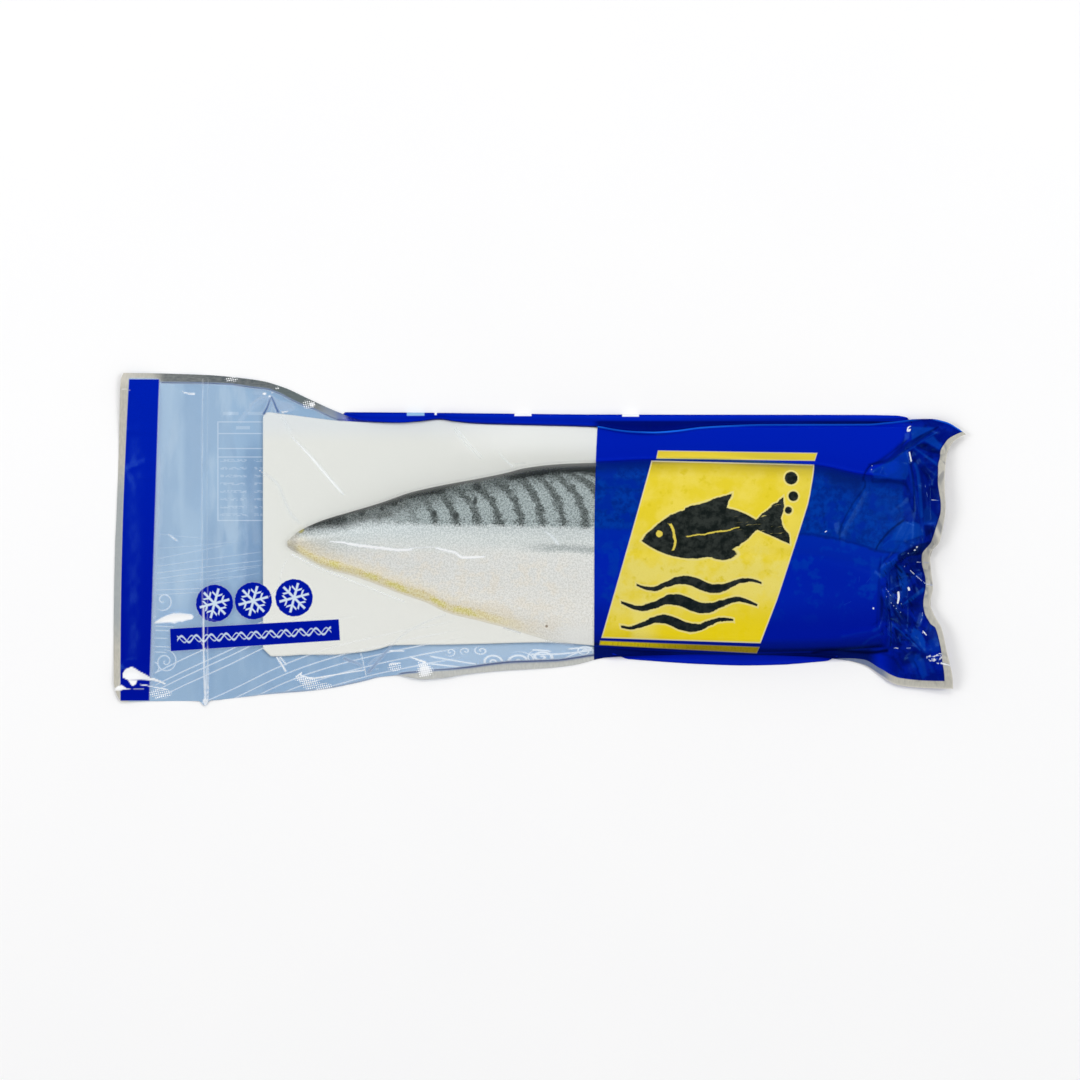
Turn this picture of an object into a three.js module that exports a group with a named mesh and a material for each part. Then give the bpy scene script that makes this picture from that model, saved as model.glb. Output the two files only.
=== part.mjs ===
// A vacuum-sealed pouch that holds one salted mackerel fillet, skin up, on a white board.
// The pouch lies flat. Tail end towards -X, the fish's back towards +Y, +Z up, millimetres.
// Origin: centre of the footprint, on the surface that the pouch rests on.
import * as THREE from 'three';

// ---- driving sizes, mm ----
const LENGTH = 349.3;            // tip to tip along X
const WIDTH = 136.5;             // seal to seal along Y
const FILM_SEAL = 0.8;           // thickness carried by the sealed rims
const POUCH_SLACK = 1.7;         // the two films with air between them, empty tail end
const SEAL_CREASE = { x: -137.1, rise: 1.5, half: 1.5 };   // cross seal in the empty end

const BOARD = { left: -113.4, right: 146.0, back: 50.4, front: -47.6, thick: 2.4, ease: 2.2 };

const FISH = {
  tail: -103.0,                  // cut of the tail
  head: 155.4,                   // cut behind the gill
  bellyCut: 14,                  // how much shorter the belly ends there
  tailThick: 5.5,
  bodyThick: 17.2,               // highest point of the body, above the board
  headThick: 13.5,
  backRound: 0.2,                // share of the width taken by the round back edge
  crest: 0.36,                   // where across the width the body is thickest, from the back
  bellyShare: 0.2,               // belly edge's thickness as a share of the crest's
};

const BACK_BULGE = { from: -84, to: 152, height: 4.2, depth: 5.6 };   // film rolled over the board's back edge
const FRONT_BULGE = { from: 22, to: 124, height: 3.6, depth: 4.6 };   // the same at the belly side
const RIM_LIFT = { tailCorner: 1.8, headRim: 4.2, headWave: 1.5, frontRim: 1.3 };
const HEAD_LUMP = { x: 148, y: -8.5, height: 2.2, halfX: 9, halfY: 7 };

const COLUMNS = 74;              // facets along the pouch
const BANDS = { front: 6, fish: 14, foot: 1, back: 5 };   // facets across it: belly side, fillet, its back edge, back side

// ---- helpers ----
const clamp = (v, lo, hi) => Math.min(hi, Math.max(lo, v));
const lerp = (a, b, k) => a + (b - a) * k;
const ease = (v, from, to) => {
  const k = clamp((v - from) / (to - from), 0, 1);
  return k * k * (3 - 2 * k);
};
const hump = (v, centre, half) => Math.exp(-(((v - centre) / half) ** 2));

// A smooth curve through a few stations [at, value], without overshoot.
function through(stations) {
  const n = stations.length;
  const step = stations.slice(1).map((s, i) => (s[1] - stations[i][1]) / (s[0] - stations[i][0]));
  const slope = stations.map((s, i) => {
    if (i === 0) return step[0];
    if (i === n - 1) return step[n - 2];
    return step[i - 1] * step[i] <= 0 ? 0 : 2 * step[i - 1] * step[i] / (step[i - 1] + step[i]);
  });
  return (v) => {
    const x = clamp(v, stations[0][0], stations[n - 1][0]);
    let i = 0;
    while (i < n - 2 && x > stations[i + 1][0]) i++;
    const w = stations[i + 1][0] - stations[i][0];
    const k = (x - stations[i][0]) / w;
    const k2 = k * k, k3 = k2 * k;
    return (2 * k3 - 3 * k2 + 1) * stations[i][1] + (k3 - 2 * k2 + k) * w * slope[i]
      + (3 * k2 - 2 * k3) * stations[i + 1][1] + (k3 - k2) * w * slope[i + 1];
  };
}

// ---- the rim, as four edges ----
const L = LENGTH / 2, W = WIDTH / 2;

// The back edge steps in behind the empty tail end, then runs straight to a small ear at the head end.
const backEdge = through([
  [-L, W - 0.2], [-136, W - 1.2], [-122, W - 2.2], [-103, W - 6.8], [-93, W - 11.8], [-83, W - 16],
  [-76, W - 16.3], [24, W - 17.3], [140, W - 17.8], [153, W - 19], [160, W - 19.1], [166.5, W - 20.3],
  [171.5, W - 22.8], [L, W - 25.4],
]);

// The front edge draws in where the pouch is full, and flares again at the head end.
const frontEdgeRun = through([
  [-L, -W + 1.6], [-142, -W + 1.8], [-113, -W + 4.4], [-93, -W + 6.2], [-78, -W + 8.6], [-62, -W + 11.8],
  [-49, -W + 10.6], [-34, -W + 12.2], [-14, -W + 14.3], [9, -W + 15.8], [20, -W + 18], [30, -W + 19.5],
  [55, -W + 17.6], [84, -W + 16.3], [111, -W + 17.6], [123, -W + 18.8], [133, -W + 16.3], [140, -W + 12.2],
  [147, -W + 8.3], [160, -W + 7],
]);
const frontEdge = (x) => frontEdgeRun(x) - 1.8 * hump(x, SEAL_CREASE.x, 5);

// The two short edges, by the share of the way from front (0) to back (1).
const tailEdge = through([
  [0, -L + 3], [0.03, -L + 0.5], [0.2, -L], [0.45, -L + 0.6], [0.6, -L + 1.5], [0.8, -L + 2.4],
  [0.93, -L + 2.8], [0.98, -L + 3.8], [1, -L + 5.8],
]);
const headEdge = through([
  [0, L - 5.4], [0.05, L - 5.8], [0.14, L - 8.2], [0.23, L - 10.2], [0.3, L - 14.2], [0.38, L - 13.6],
  [0.5, L - 14.6], [0.55, L - 11], [0.6, L - 9.6], [0.68, L - 8.6], [0.77, L - 9], [0.88, L - 8],
  [0.924, L - 6.2], [0.958, L - 3.6], [1, L],
]);

// ---- the fillet's outline and the height of its skin above the board ----
const fishBack = through([
  [-103, 3.6], [-88, 8.4], [-64, 15.2], [-40, 22], [-12, 28.6], [2, 30.2], [46, 32.4], [88, 31.6],
  [113, 30], [132, 26.2], [150, 23.4], [157, 20],
]);
const fishBelly = through([
  [-103, -5.4], [-88, -12], [-64, -20], [-37, -30.6], [-12, -36.8], [6, -42], [24, -43.8], [88, -46.2],
  [141, -44], [157, -42.5],
]);
const fishThick = through([
  [-103, FISH.tailThick], [-84, 8], [-50, 12], [-10, 15.2], [40, FISH.bodyThick], [90, FISH.bodyThick],
  [130, FISH.headThick + 1.5], [157, FISH.headThick - 3],
]);
// The head was cut off aslant: the belly ends shorter than the back.
const fishHead = (y) => FISH.head - FISH.bellyCut * (1 - ease(y, -14, 2));

function fishHeight(x, y) {
  const over = ease(x, FISH.tail - 2.5, FISH.tail + 1) * (1 - ease(x, fishHead(y) - 4, fishHead(y) + 2));
  if (over <= 0) return 0;
  const back = fishBack(x), belly = fishBelly(x);
  const across = (back + 1.2 - y) / (back - belly + 2.4);
  if (across <= 0 || across >= 1) return 0;
  const round = 1 - (1 - clamp(across / FISH.backRound, 0, 1)) ** 2.4;
  const fall = lerp(1, FISH.bellyShare, ease(across, FISH.crest, 1.04));
  const bellyRound = 1 - (1 - clamp((1 - across) / 0.06, 0, 1)) ** 2;
  return over * fishThick(x) * Math.min(round, fall) * bellyRound;
}

// ---- thickness of the whole pack, and how far its underside is off the table ----
function packThickness(x, y) {
  const back = backEdge(x) - y, front = y - frontEdge(x);
  const tail = x + L, inset = Math.min(back, front);
  const slack = POUCH_SLACK * ease(inset, 0.5, 9) * ease(tail, 3, 16) * (1 - ease(x, 160, 168));
  const crease = SEAL_CREASE.rise * hump(x, SEAL_CREASE.x, SEAL_CREASE.half);
  const board = BOARD.thick
    * ease(x, BOARD.left - BOARD.ease, BOARD.left) * (1 - ease(x, BOARD.right, BOARD.right + 8))
    * ease(y, BOARD.front - BOARD.ease, BOARD.front) * (1 - ease(y, BOARD.back, BOARD.back + BOARD.ease));
  const rolledBack = BACK_BULGE.height * Math.sqrt(clamp(back / BACK_BULGE.depth, 0, 1))
    * (1 - 0.35 * ease(back, BACK_BULGE.depth, 16))
    * ease(x, BACK_BULGE.from - 5, BACK_BULGE.from + 6) * (1 - ease(x, BACK_BULGE.to - 4, BACK_BULGE.to + 4))
    * (1 - ease(back, 14, 30));
  const rolledFront = FRONT_BULGE.height * Math.sqrt(clamp(front / FRONT_BULGE.depth, 0, 1))
    * ease(x, FRONT_BULGE.from - 6, FRONT_BULGE.from + 4) * (1 - ease(x, FRONT_BULGE.to - 4, FRONT_BULGE.to + 6))
    * (1 - ease(front, 6, 16));
  const lump = HEAD_LUMP.height * hump(x, HEAD_LUMP.x, HEAD_LUMP.halfX) * hump(y, HEAD_LUMP.y, HEAD_LUMP.halfY);
  return FILM_SEAL + Math.max(slack, crease, board + fishHeight(x, y) + lump, rolledBack, rolledFront);
}

function undersideLift(x, y) {
  const tailBack = ease(-x, 150, L) * ease(y, 30, W) * RIM_LIFT.tailCorner;
  const tailFront = ease(-x, 158, L) * ease(-y, 40, W) * RIM_LIFT.tailCorner * 0.6;
  const head = ease(x, 146, L - 3) * (RIM_LIFT.headRim + RIM_LIFT.headWave * Math.sin(y / 9));
  const frontRim = ease(-y, 51, 60) * ease(x, -66, -52) * RIM_LIFT.frontRim;
  return Math.max(tailBack, tailFront, head, frontRim, 0);
}

// ---- the closed solid: a top and an underside on one grid, joined by the rim ----
const endFan = (x) => Math.max(1 - ease(x, -165, FISH.tail), ease(x, 138, L - 6));

function packGeometry() {
  // Rows follow the fillet's two long edges, and fan out evenly towards the pouch's ends.
  const bands = [
    [BANDS.front, (x) => fishBelly(x) - 0.6],
    [BANDS.fish, (x) => fishBack(x) + 0.4],
    [BANDS.foot, (x) => fishBack(x) + 2.6],
    [BANDS.back, backEdge],
  ];
  const rows = [];               // for each row: its line along the pouch, and its share of the way across
  let from = frontEdge;
  for (const [count, to] of bands) {
    const first = from;
    for (let j = rows.length ? 1 : 0; j <= count; j++) {
      const line = (x) => lerp(first(x), to(x), j / count);
      rows.push({ line, t: clamp((line(0) - frontEdge(0)) / (backEdge(0) - frontEdge(0)), 0, 1) });
    }
    from = to;
  }
  const ROWS = rows.length - 1;
  const position = [], index = [];
  const perSide = (COLUMNS + 1) * (ROWS + 1);
  for (const top of [true, false]) {
    for (const { line, t } of rows) {
      for (let i = 0; i <= COLUMNS; i++) {
        const x = lerp(tailEdge(t), headEdge(t), i / COLUMNS);
        const y = lerp(line(x), lerp(frontEdge(x), backEdge(x), t), endFan(x));
        const low = undersideLift(x, y);
        position.push(x, y, top ? low + packThickness(x, y) : low);
      }
    }
  }
  const at = (i, j, side) => side * perSide + j * (COLUMNS + 1) + i;
  const quad = (a, b, c, d) => index.push(a, b, c, a, c, d);
  for (let j = 0; j < ROWS; j++) {
    for (let i = 0; i < COLUMNS; i++) {
      quad(at(i, j, 0), at(i + 1, j, 0), at(i + 1, j + 1, 0), at(i, j + 1, 0));
      quad(at(i, j, 1), at(i, j + 1, 1), at(i + 1, j + 1, 1), at(i + 1, j, 1));
    }
  }
  for (let i = 0; i < COLUMNS; i++) {
    quad(at(i, 0, 1), at(i + 1, 0, 1), at(i + 1, 0, 0), at(i, 0, 0));
    quad(at(i + 1, ROWS, 1), at(i, ROWS, 1), at(i, ROWS, 0), at(i + 1, ROWS, 0));
  }
  for (let j = 0; j < ROWS; j++) {
    quad(at(0, j + 1, 1), at(0, j, 1), at(0, j, 0), at(0, j + 1, 0));
    quad(at(COLUMNS, j, 1), at(COLUMNS, j + 1, 1), at(COLUMNS, j + 1, 0), at(COLUMNS, j, 0));
  }
  const geometry = new THREE.BufferGeometry();
  geometry.setAttribute('position', new THREE.Float32BufferAttribute(position, 3));
  geometry.setIndex(index);
  geometry.computeBoundingBox();
  const middle = geometry.boundingBox.getCenter(new THREE.Vector3());
  geometry.translate(-middle.x, -middle.y, -geometry.boundingBox.min.z);
  geometry.computeVertexNormals();
  return geometry;
}

const pack = new THREE.Mesh(
  packGeometry(),
  new THREE.MeshStandardMaterial({ color: 0x1238a8, roughness: 0.25, metalness: 0 }),
);
pack.name = 'sealed_pack';

const model = new THREE.Group();
model.add(pack);

export default model;
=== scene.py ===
import bpy
import numpy as np
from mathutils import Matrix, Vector


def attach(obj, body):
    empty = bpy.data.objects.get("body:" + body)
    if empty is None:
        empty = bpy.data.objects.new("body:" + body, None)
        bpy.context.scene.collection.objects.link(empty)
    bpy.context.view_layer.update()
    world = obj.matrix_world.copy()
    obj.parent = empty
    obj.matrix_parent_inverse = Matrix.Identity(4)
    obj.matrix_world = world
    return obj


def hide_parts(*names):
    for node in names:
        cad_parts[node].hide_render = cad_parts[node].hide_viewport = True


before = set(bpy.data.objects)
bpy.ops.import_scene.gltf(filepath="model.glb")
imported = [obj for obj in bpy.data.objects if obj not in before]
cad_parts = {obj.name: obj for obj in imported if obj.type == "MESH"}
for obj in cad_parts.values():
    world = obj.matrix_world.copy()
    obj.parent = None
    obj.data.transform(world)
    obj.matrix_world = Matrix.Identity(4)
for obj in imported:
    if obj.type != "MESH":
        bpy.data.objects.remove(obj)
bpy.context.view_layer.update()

# A vacuum-sealed pouch with a mackerel fillet on a white board, seen from straight above.
# Plan sizes are in units of 0.41 mm: x from the tail end to the head end, y from the back edge to the belly edge.
# Heights are in mm above the floor.
K = 0.41
PX, PY = 539.0, 538.5            # the plan point that lies over the origin
FLOOR_GAP = 0.06
BOARD_UNDER, BOARD_TOP = 0.35, 1.5
PRINT_EDGE = 595.5               # where the printed part of the front film starts
DOME = 0.74                      # strength of the surroundings
KEY_LEFT, KEY_RIGHT, KEY_BACK = 8.0, 6.8, 5.5


# ---------------------------------------------------------------- small maths
def ease(v, a, b):
    k = np.clip((v - a) / (b - a), 0.0, 1.0)
    return k * k * (3.0 - 2.0 * k)


def hump(v, centre, half):
    return np.exp(-(((v - centre) / half) ** 2))


def lerp(a, b, k):
    return a + (b - a) * k


def dome(v, radius):
    """0 at the edge, 1 from radius inwards, round in between."""
    k = np.clip(v / radius, 0.0, 1.0)
    return np.sqrt(np.clip(1.0 - (1.0 - k) ** 2, 0.0, 1.0))


def through(*stations):
    """A smooth curve through a few stations (at, value), without overshoot."""
    xs = np.array([s[0] for s in stations], float)
    ys = np.array([s[1] for s in stations], float)
    step = np.diff(ys) / np.diff(xs)
    slope = np.empty_like(ys)
    slope[0], slope[-1] = step[0], step[-1]
    a, b = step[:-1], step[1:]
    both = np.where(a * b > 0, a + b, 1.0)
    slope[1:-1] = np.where(a * b > 0, 2 * a * b / both, 0.0)

    def curve(v):
        v = np.clip(np.asarray(v, float), xs[0], xs[-1])
        i = np.clip(np.searchsorted(xs, v, side="right") - 1, 0, len(xs) - 2)
        w = xs[i + 1] - xs[i]
        k = (v - xs[i]) / w
        k2, k3 = k * k, k * k * k
        return (
            (2 * k3 - 3 * k2 + 1) * ys[i]
            + (k3 - 2 * k2 + k) * w * slope[i]
            + (3 * k2 - 2 * k3) * ys[i + 1]
            + (k3 - k2) * w * slope[i + 1]
        )

    return curve


def value_noise(x, y, size, seed):
    """Smooth noise from -1 to 1 with features of that size."""
    grid = np.random.default_rng(seed).random((128, 128)) * 2.0 - 1.0
    u, v = np.asarray(x) / size + 7.3, np.asarray(y) / size + 3.1
    iu, iv = np.floor(u).astype(int), np.floor(v).astype(int)
    fu, fv = u - iu, v - iv
    fu, fv = fu * fu * (3 - 2 * fu), fv * fv * (3 - 2 * fv)
    a = grid[iv % 128, iu % 128]
    b = grid[iv % 128, (iu + 1) % 128]
    c = grid[(iv + 1) % 128, iu % 128]
    d = grid[(iv + 1) % 128, (iu + 1) % 128]
    return lerp(lerp(a, b, fu), lerp(c, d, fu), fv)


# ---------------------------------------------------------------- outline of the pouch
# The line where the two films meet. At the back it stands up, on edge, over most of the length.
back_tip = through(
    (113, 373), (130, 372.5), (206, 374.5), (240, 377.5), (264, 381), (276, 384.5), (288, 388.8),
    (302, 395.5), (316, 402.1), (329, 408), (340, 412.6), (352, 417.3), (362, 419.8), (380, 421.3),
    (400, 422), (419, 420.5), (439, 418), (455, 420.5), (480, 422.2), (500, 422.8), (560, 424.3),
    (597, 425.8), (615, 428.8), (632, 430.7), (652, 431.4), (674, 429.9), (700, 426.6), (730, 424.8), (761, 423.8),
    (867, 423.4), (885, 422), (902, 420.2), (914, 418.8), (930, 418.5), (945, 421.5), (957, 428), (965, 434),
)
front_tip = through(
    (113, 701), (190, 700.4), (199, 700.5), (202, 703.5), (204.5, 705.6), (207, 703), (209, 700), (218, 699.3), (264, 694),
    (312, 690), (336, 686.5), (348, 684), (366, 680), (378, 676.8), (388, 675.5), (397, 674.6), (405, 676), (416, 678.1), (424, 678.8), (433, 678.2), (450, 676.4),
    (456, 675), (480, 672), (504, 670), (540, 668), (560, 666.3), (576, 664), (588, 661), (597, 658.5),
    (608, 656.8), (650, 655), (700, 654), (760, 654.5), (810, 656.3), (832, 658), (845, 659.8),
    (864, 665), (880, 675), (890, 681.5), (900, 685), (925, 687.5), (952, 688),
)
# The back film rolls out past the standing seam along these stretches.
back_roll = through((338, 411.6), (400, 412), (500, 413), (597, 414), (860, 414.4), (895, 415), (905, 416.5), (913, 418.7))
front_roll = through((606, 657), (640, 659.6), (672, 662), (700, 663.6), (745, 665), (780, 664.3), (810, 662), (840, 659.2))


def back_out(x):
    inside = (x > 330) & (x < 914)
    return np.where(inside, np.minimum(back_roll(x), back_tip(x)), back_tip(x))


def front_out(x):
    inside = (x > 604) & (x < 846)
    return np.where(inside, np.maximum(front_roll(x), front_tip(x)), front_tip(x))


# The two short edges, by the share of the way from the belly edge (0) to the back edge (1).
tail_edge = through(
    (0, 121), (0.012, 118), (0.03, 115.5), (0.06, 113.6), (0.2, 113.2), (0.45, 114.5), (0.6, 116.5), (0.8, 118.7), (0.93, 119.8),
    (0.98, 120.6), (1, 123.4),
)
head_edge = through(
    (0, 952), (0.045, 951), (0.143, 945), (0.226, 940), (0.282, 931.5), (0.316, 929), (0.376, 932),
    (0.436, 930), (0.496, 929), (0.545, 938), (0.602, 941.5), (0.677, 944), (0.767, 943),
    (0.877, 945.5), (0.924, 950), (0.958, 956), (1, 965),
)

# ---------------------------------------------------------------- the fillet
fish_back = through(
    (287, 541), (293, 535.5), (300, 530), (323, 519.6), (353, 510.6), (382, 501.8), (411, 491.8),
    (441, 485), (480, 477.8), (505.7, 472.4), (523, 468), (544, 465), (567, 463.2), (594.5, 462.3),
    (652, 459.8), (697, 459), (753, 461.8), (815, 465.6), (860, 474.5), (905, 480), (925, 484),
)
fish_belly = through(
    (287, 546), (293, 550.5), (301, 554.8), (326, 568), (353, 575.5), (382, 586), (397, 592),
    (426, 602), (448, 612.5), (480, 620.5), (509, 628), (532, 635), (553, 640.5), (594, 645),
    (650, 649), (756, 652), (840, 650), (888, 646.5), (925, 645),
)
fish_crest = through(
    (287, 3.2), (300, 4.8), (330, 7.2), (353, 8.8), (411, 12), (480, 14.5), (544, 16.2), (600, 17.1),
    (700, 17.5), (800, 16.8), (860, 15), (905, 12.6), (925, 11),
)
fish_belly_share = through((287, 0.36), (420, 0.22), (560, 0.2), (610, 0.27), (660, 0.42), (925, 0.48))
fish_belly_round = through((287, 4), (440, 16), (560, 26), (600, 26), (680, 16), (925, 13))
# Where the dark back ends and the silver flank starts.
fish_belt = through(
    (287, 537), (302, 531), (330, 529), (384, 522.5), (439, 524.5), (540, 526), (600, 528), (720, 531),
    (800, 533.5), (850, 542), (880, 551), (925, 553),
)
# How far the nearly black edge of the back reaches in: the skin's own dark, deepened with painted shade on the steep
# side.
fish_ridge = through(
    (287, 0.3), (298, 0.6), (302, 3.6), (335, 3.8), (350, 2.2), (375, 2.6), (392, 5.5), (410, 5.0), (432, 7.5), (448, 5.0),
    (470, 2.8), (500, 4.0), (514, 9.0), (540, 10.5), (560, 9.5), (594, 10.5), (925, 9.0),
)
TAIL, HEAD, HEAD_BELLY = 287.0, 918.0, 885.0


def fish_head(v):
    return HEAD_BELLY + (HEAD - HEAD_BELLY) * (1.0 - ease(v, 0.38, 0.56))


def fish_height(x, y):
    """Height of the skin above the board."""
    back, belly = fish_back(x), fish_belly(x)
    from_back, from_belly = y - back, belly - y
    v = from_back / (belly - back)
    inside = (v > 0) & (v < 1) & (x > TAIL) & (x < fish_head(v))
    wide = belly - back
    rise = dome(from_back, np.minimum(19.0, 0.42 * wide)) ** 0.9
    fall = lerp(1.0, fish_belly_share(x), ease(v, 0.34, 1.06))
    rim = 1.0 - (1.0 - np.clip(from_belly / np.minimum(fish_belly_round(x), 0.3 * wide), 0.0, 1.0)) ** 2
    ends = dome(x - TAIL, 7.0) * (0.35 + 0.65 * dome(fish_head(v) - x, 9.0))
    swell = 1.0 + 0.02 * value_noise(x, y, 46, 5) + 0.012 * value_noise(x, y, 17, 6)
    crown = 0.84 + 0.16 * ease(v, 0.04, 0.36)
    groove = 0.35 * hump(y - fish_belt(x) - 20, 0, 5) * ease(x, 420, 560)
    return np.where(inside, fish_crest(x) * rise * fall * rim * ends * swell * crown - groove * rim * ends, 0.0)


# ---------------------------------------------------------------- the board
BOARD_LEFT, BOARD_RIGHT = 262.5, 912.0
board_back = through((262, 411), (270, 411.8), (282, 413.4), (300, 415.7), (317, 417.9), (340, 420.4), (396, 422.5), (418, 421.2), (439, 419.3), (456, 421.4), (474, 423.3), (597, 427), (660, 433), (720, 428), (912, 427))
board_front = through((262, 656), (280, 655.8), (302, 654.4), (334, 654.2), (348, 653), (363, 651.4), (378, 648.7), (393, 644.8), (450, 644.1), (480, 643.4), (540, 642), (600, 645.5), (650, 650), (700, 652.3), (840, 652), (885, 650), (912, 648))


def board_inside(x, y):
    """Distance inwards from the board's edge."""
    d = np.minimum(np.minimum(x - BOARD_LEFT, BOARD_RIGHT - x), np.minimum(y - board_back(x), board_front(x) - y))
    chamfer = (x - BOARD_LEFT + (655 - y) - 8.0) * 0.707
    rx, ry = np.maximum(7 - (x - BOARD_LEFT), 0), np.maximum(7 - (y - board_back(x)), 0)
    corner = 7 - np.hypot(rx, ry)
    return np.minimum(np.minimum(d, chamfer), np.where((rx > 0) & (ry > 0), corner, 1e3))


# ---------------------------------------------------------------- height of the front film, on a raster
STEP = 0.5
RX0, RX1, RY0, RY1 = 104.0, 974.0, 362.0, 714.0
rx = np.arange(RX0, RX1 + STEP, STEP)
ry = np.arange(RY0, RY1 + STEP, STEP)
GX, GY = np.meshgrid(rx, ry)


def blurred(field, sigma):
    """Gaussian blur, sigma in plan units."""
    s = sigma / STEP
    n = int(3 * s + 1)
    k = np.exp(-0.5 * (np.arange(-n, n + 1) / s) ** 2)
    k /= k.sum()
    out = field
    for axis in (0, 1):
        pad = [(n, n) if a == axis else (0, 0) for a in (0, 1)]
        p = np.pad(out, pad, mode="edge")
        acc = np.zeros_like(out)
        for i, w in enumerate(k):
            acc += w * (p[i : i + out.shape[0], :] if axis == 0 else p[:, i : i + out.shape[1]])
        out = acc
    return out


def spread(field, reach):
    """Highest value within reach, in plan units."""
    n = int(round(reach / STEP))
    out = field.copy()
    for axis in (0, 1):
        p = out.copy()
        for i in range(1, n + 1):
            for sign in (-1, 1):
                r = np.roll(p, sign * i, axis=axis)
                out = np.maximum(out, r)
    return out


def lift(x, y):
    """How far the rims are off the floor, as in the solid model."""
    xm, ym = (x - PX) * K, (PY - y) * K
    half_l, half_w = 174.65, 68.0
    tail_back = ease(-xm, 150, half_l) * ease(ym, 30, half_w) * 1.8
    tail_front = ease(-xm, 158, half_l) * ease(-ym, 40, half_w) * 1.1
    head = ease(xm, 144, half_l - 3) * (4.2 + 1.5 * np.sin(ym / 9))
    rim = ease(-ym, 51, 60) * ease(xm, -66, -52) * 1.3
    return np.maximum(np.maximum(np.maximum(tail_back, tail_front), np.maximum(head, rim)), 0.0)


def path_distance(px, py, points):
    """Distance from a smooth line through points, share of the way along it, and which side."""
    pts = np.array(points, float)
    if len(pts) > 2:                      # round the corners off with a spline
        t = np.linspace(0, len(pts) - 1, 8 * (len(pts) - 1) + 1)
        i = np.clip(t.astype(int), 0, len(pts) - 2)
        f = (t - i)[:, None]
        p0, p1 = pts[np.maximum(i - 1, 0)], pts[i]
        p2, p3 = pts[i + 1], pts[np.minimum(i + 2, len(pts) - 1)]
        pts = 0.5 * (2 * p1 + (p2 - p0) * f + (2 * p0 - 5 * p1 + 4 * p2 - p3) * f**2 + (3 * p1 - p0 - 3 * p2 + p3) * f**3)
    seg = np.hypot(*np.diff(pts, axis=0).T)
    total = seg.sum()
    best = np.full(px.shape, 1e9)
    along = np.zeros(px.shape)
    side = np.zeros(px.shape)
    run = 0.0
    for a, b, length in zip(pts[:-1], pts[1:], seg):
        if length < 1e-6:
            continue
        d = (b - a) / length
        t = np.clip((px - a[0]) * d[0] + (py - a[1]) * d[1], 0, length)
        ex, ey = px - a[0] - t * d[0], py - a[1] - t * d[1]
        dist = np.hypot(ex, ey)
        nearer = dist < best
        best = np.where(nearer, dist, best)
        along = np.where(nearer, (run + t) / total, along)
        side = np.where(nearer, np.sign(d[0] * ey - d[1] * ex), side)
        run += length
    return best, along, side


def window(points, reach):
    xs, ys = [p[0] for p in points], [p[1] for p in points]
    i0 = max(int((min(xs) - reach - RX0) / STEP), 0)
    i1 = min(int((max(xs) + reach - RX0) / STEP) + 2, GX.shape[1])
    j0 = max(int((min(ys) - reach - RY0) / STEP), 0)
    j1 = min(int((max(ys) + reach - RY0) / STEP) + 2, GX.shape[0])
    return slice(j0, j1), slice(i0, i1)


WRINKLES = np.zeros_like(GX)
# white marks: partly the film's own stress whitening, partly painted highlights where it glints
WHITENING_AND_GLINT = np.zeros_like(GX)
SHADED = np.zeros_like(GX)
LIT = np.zeros_like(GX)
FROST = np.zeros_like(GX)
BLOTS = np.zeros_like(GX)


def fold(points, height, left, right=None, sharp=0.8, taper=0.12, white=0.0, white_width=0.9, twin=0.0, dark=0.0):
    """A fold in the film along a line: height in mm, and how far it runs out on either side. White lays whitening and a
    painted glint along it, dark a painted shade.
    """
    right = left if right is None else right
    reach = max(left, right) + abs(twin) + 4
    win = window(points, reach)
    d, t, side = path_distance(GX[win], GY[win], points)
    ends = ease(t, 0, taper) * (1 - ease(t, 1 - taper, 1)) if taper > 0 else 1.0
    if twin:                               # two close ridges with a dip between them
        near = np.exp(-(((d - twin) / (left * 0.5)) ** 2))
        WRINKLES[win] += height * ends * near
        line = np.exp(-(((d - twin) / white_width) ** 2))
    else:
        w = np.where(side >= 0, left, right)
        tent = np.clip(1.0 - np.sqrt(d * d + sharp * sharp) / (w + sharp), 0, 1)
        WRINKLES[win] += height * ends * tent * (0.55 + 0.45 * tent)
        line = np.exp(-((d / white_width) ** 2))
    if white:
        WHITENING_AND_GLINT[win] = np.maximum(WHITENING_AND_GLINT[win], white * ends * line)
    if dark:
        SHADED[win] = np.maximum(SHADED[win], dark * ends * np.exp(-((d / 1.3) ** 2)))


def mark(field, points, start, end, strength=1.0, soft=0.5, belly=0.0):
    """A mark along a line, with a half width at each end: white for the film's whitening and its painted glints, dark
    for painted shade where it doubles.
    """
    win = window(points, max(start, end) + belly + 4)
    d, t, side = path_distance(GX[win], GY[win], points)
    half = lerp(start, end, t) + belly * np.sin(t * np.pi)
    k = np.clip((half + soft - d) / (2 * soft), 0, 1)
    field[win] = np.maximum(field[win], strength * k * k * (3 - 2 * k))


def facet(field, corners, strength, soft=1.2):
    """A flat facet in the film: an even tone with straight sides."""
    win = window(corners, soft + 1)
    pairs = list(zip(corners, corners[1:] + corners[:1]))
    turn = 1.0 if sum(x0 * y1 - x1 * y0 for (x0, y0), (x1, y1) in pairs) > 0 else -1.0
    d = None
    for (x0, y0), (x1, y1) in pairs:
        length = max(float(np.hypot(x1 - x0, y1 - y0)), 1e-6)
        one = turn * ((GX[win] - x0) * (y1 - y0) - (GY[win] - y0) * (x1 - x0)) / length
        d = one if d is None else np.maximum(d, one)
    k = np.clip((soft - d) / (2 * soft), 0, 1)
    field[win] = np.maximum(field[win], strength * k * k * (3 - 2 * k))


def patch(field, cx, cy, hx, hy, strength=1.0):
    """A soft oval."""
    win = window([(cx - hx, cy - hy), (cx + hx, cy + hy)], 1)
    d = np.hypot((GX[win] - cx) / hx, (GY[win] - cy) / hy)
    k = np.clip((1.0 - d) / 0.7, 0, 1)
    field[win] = np.maximum(field[win], strength * k * k * (3 - 2 * k))
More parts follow.
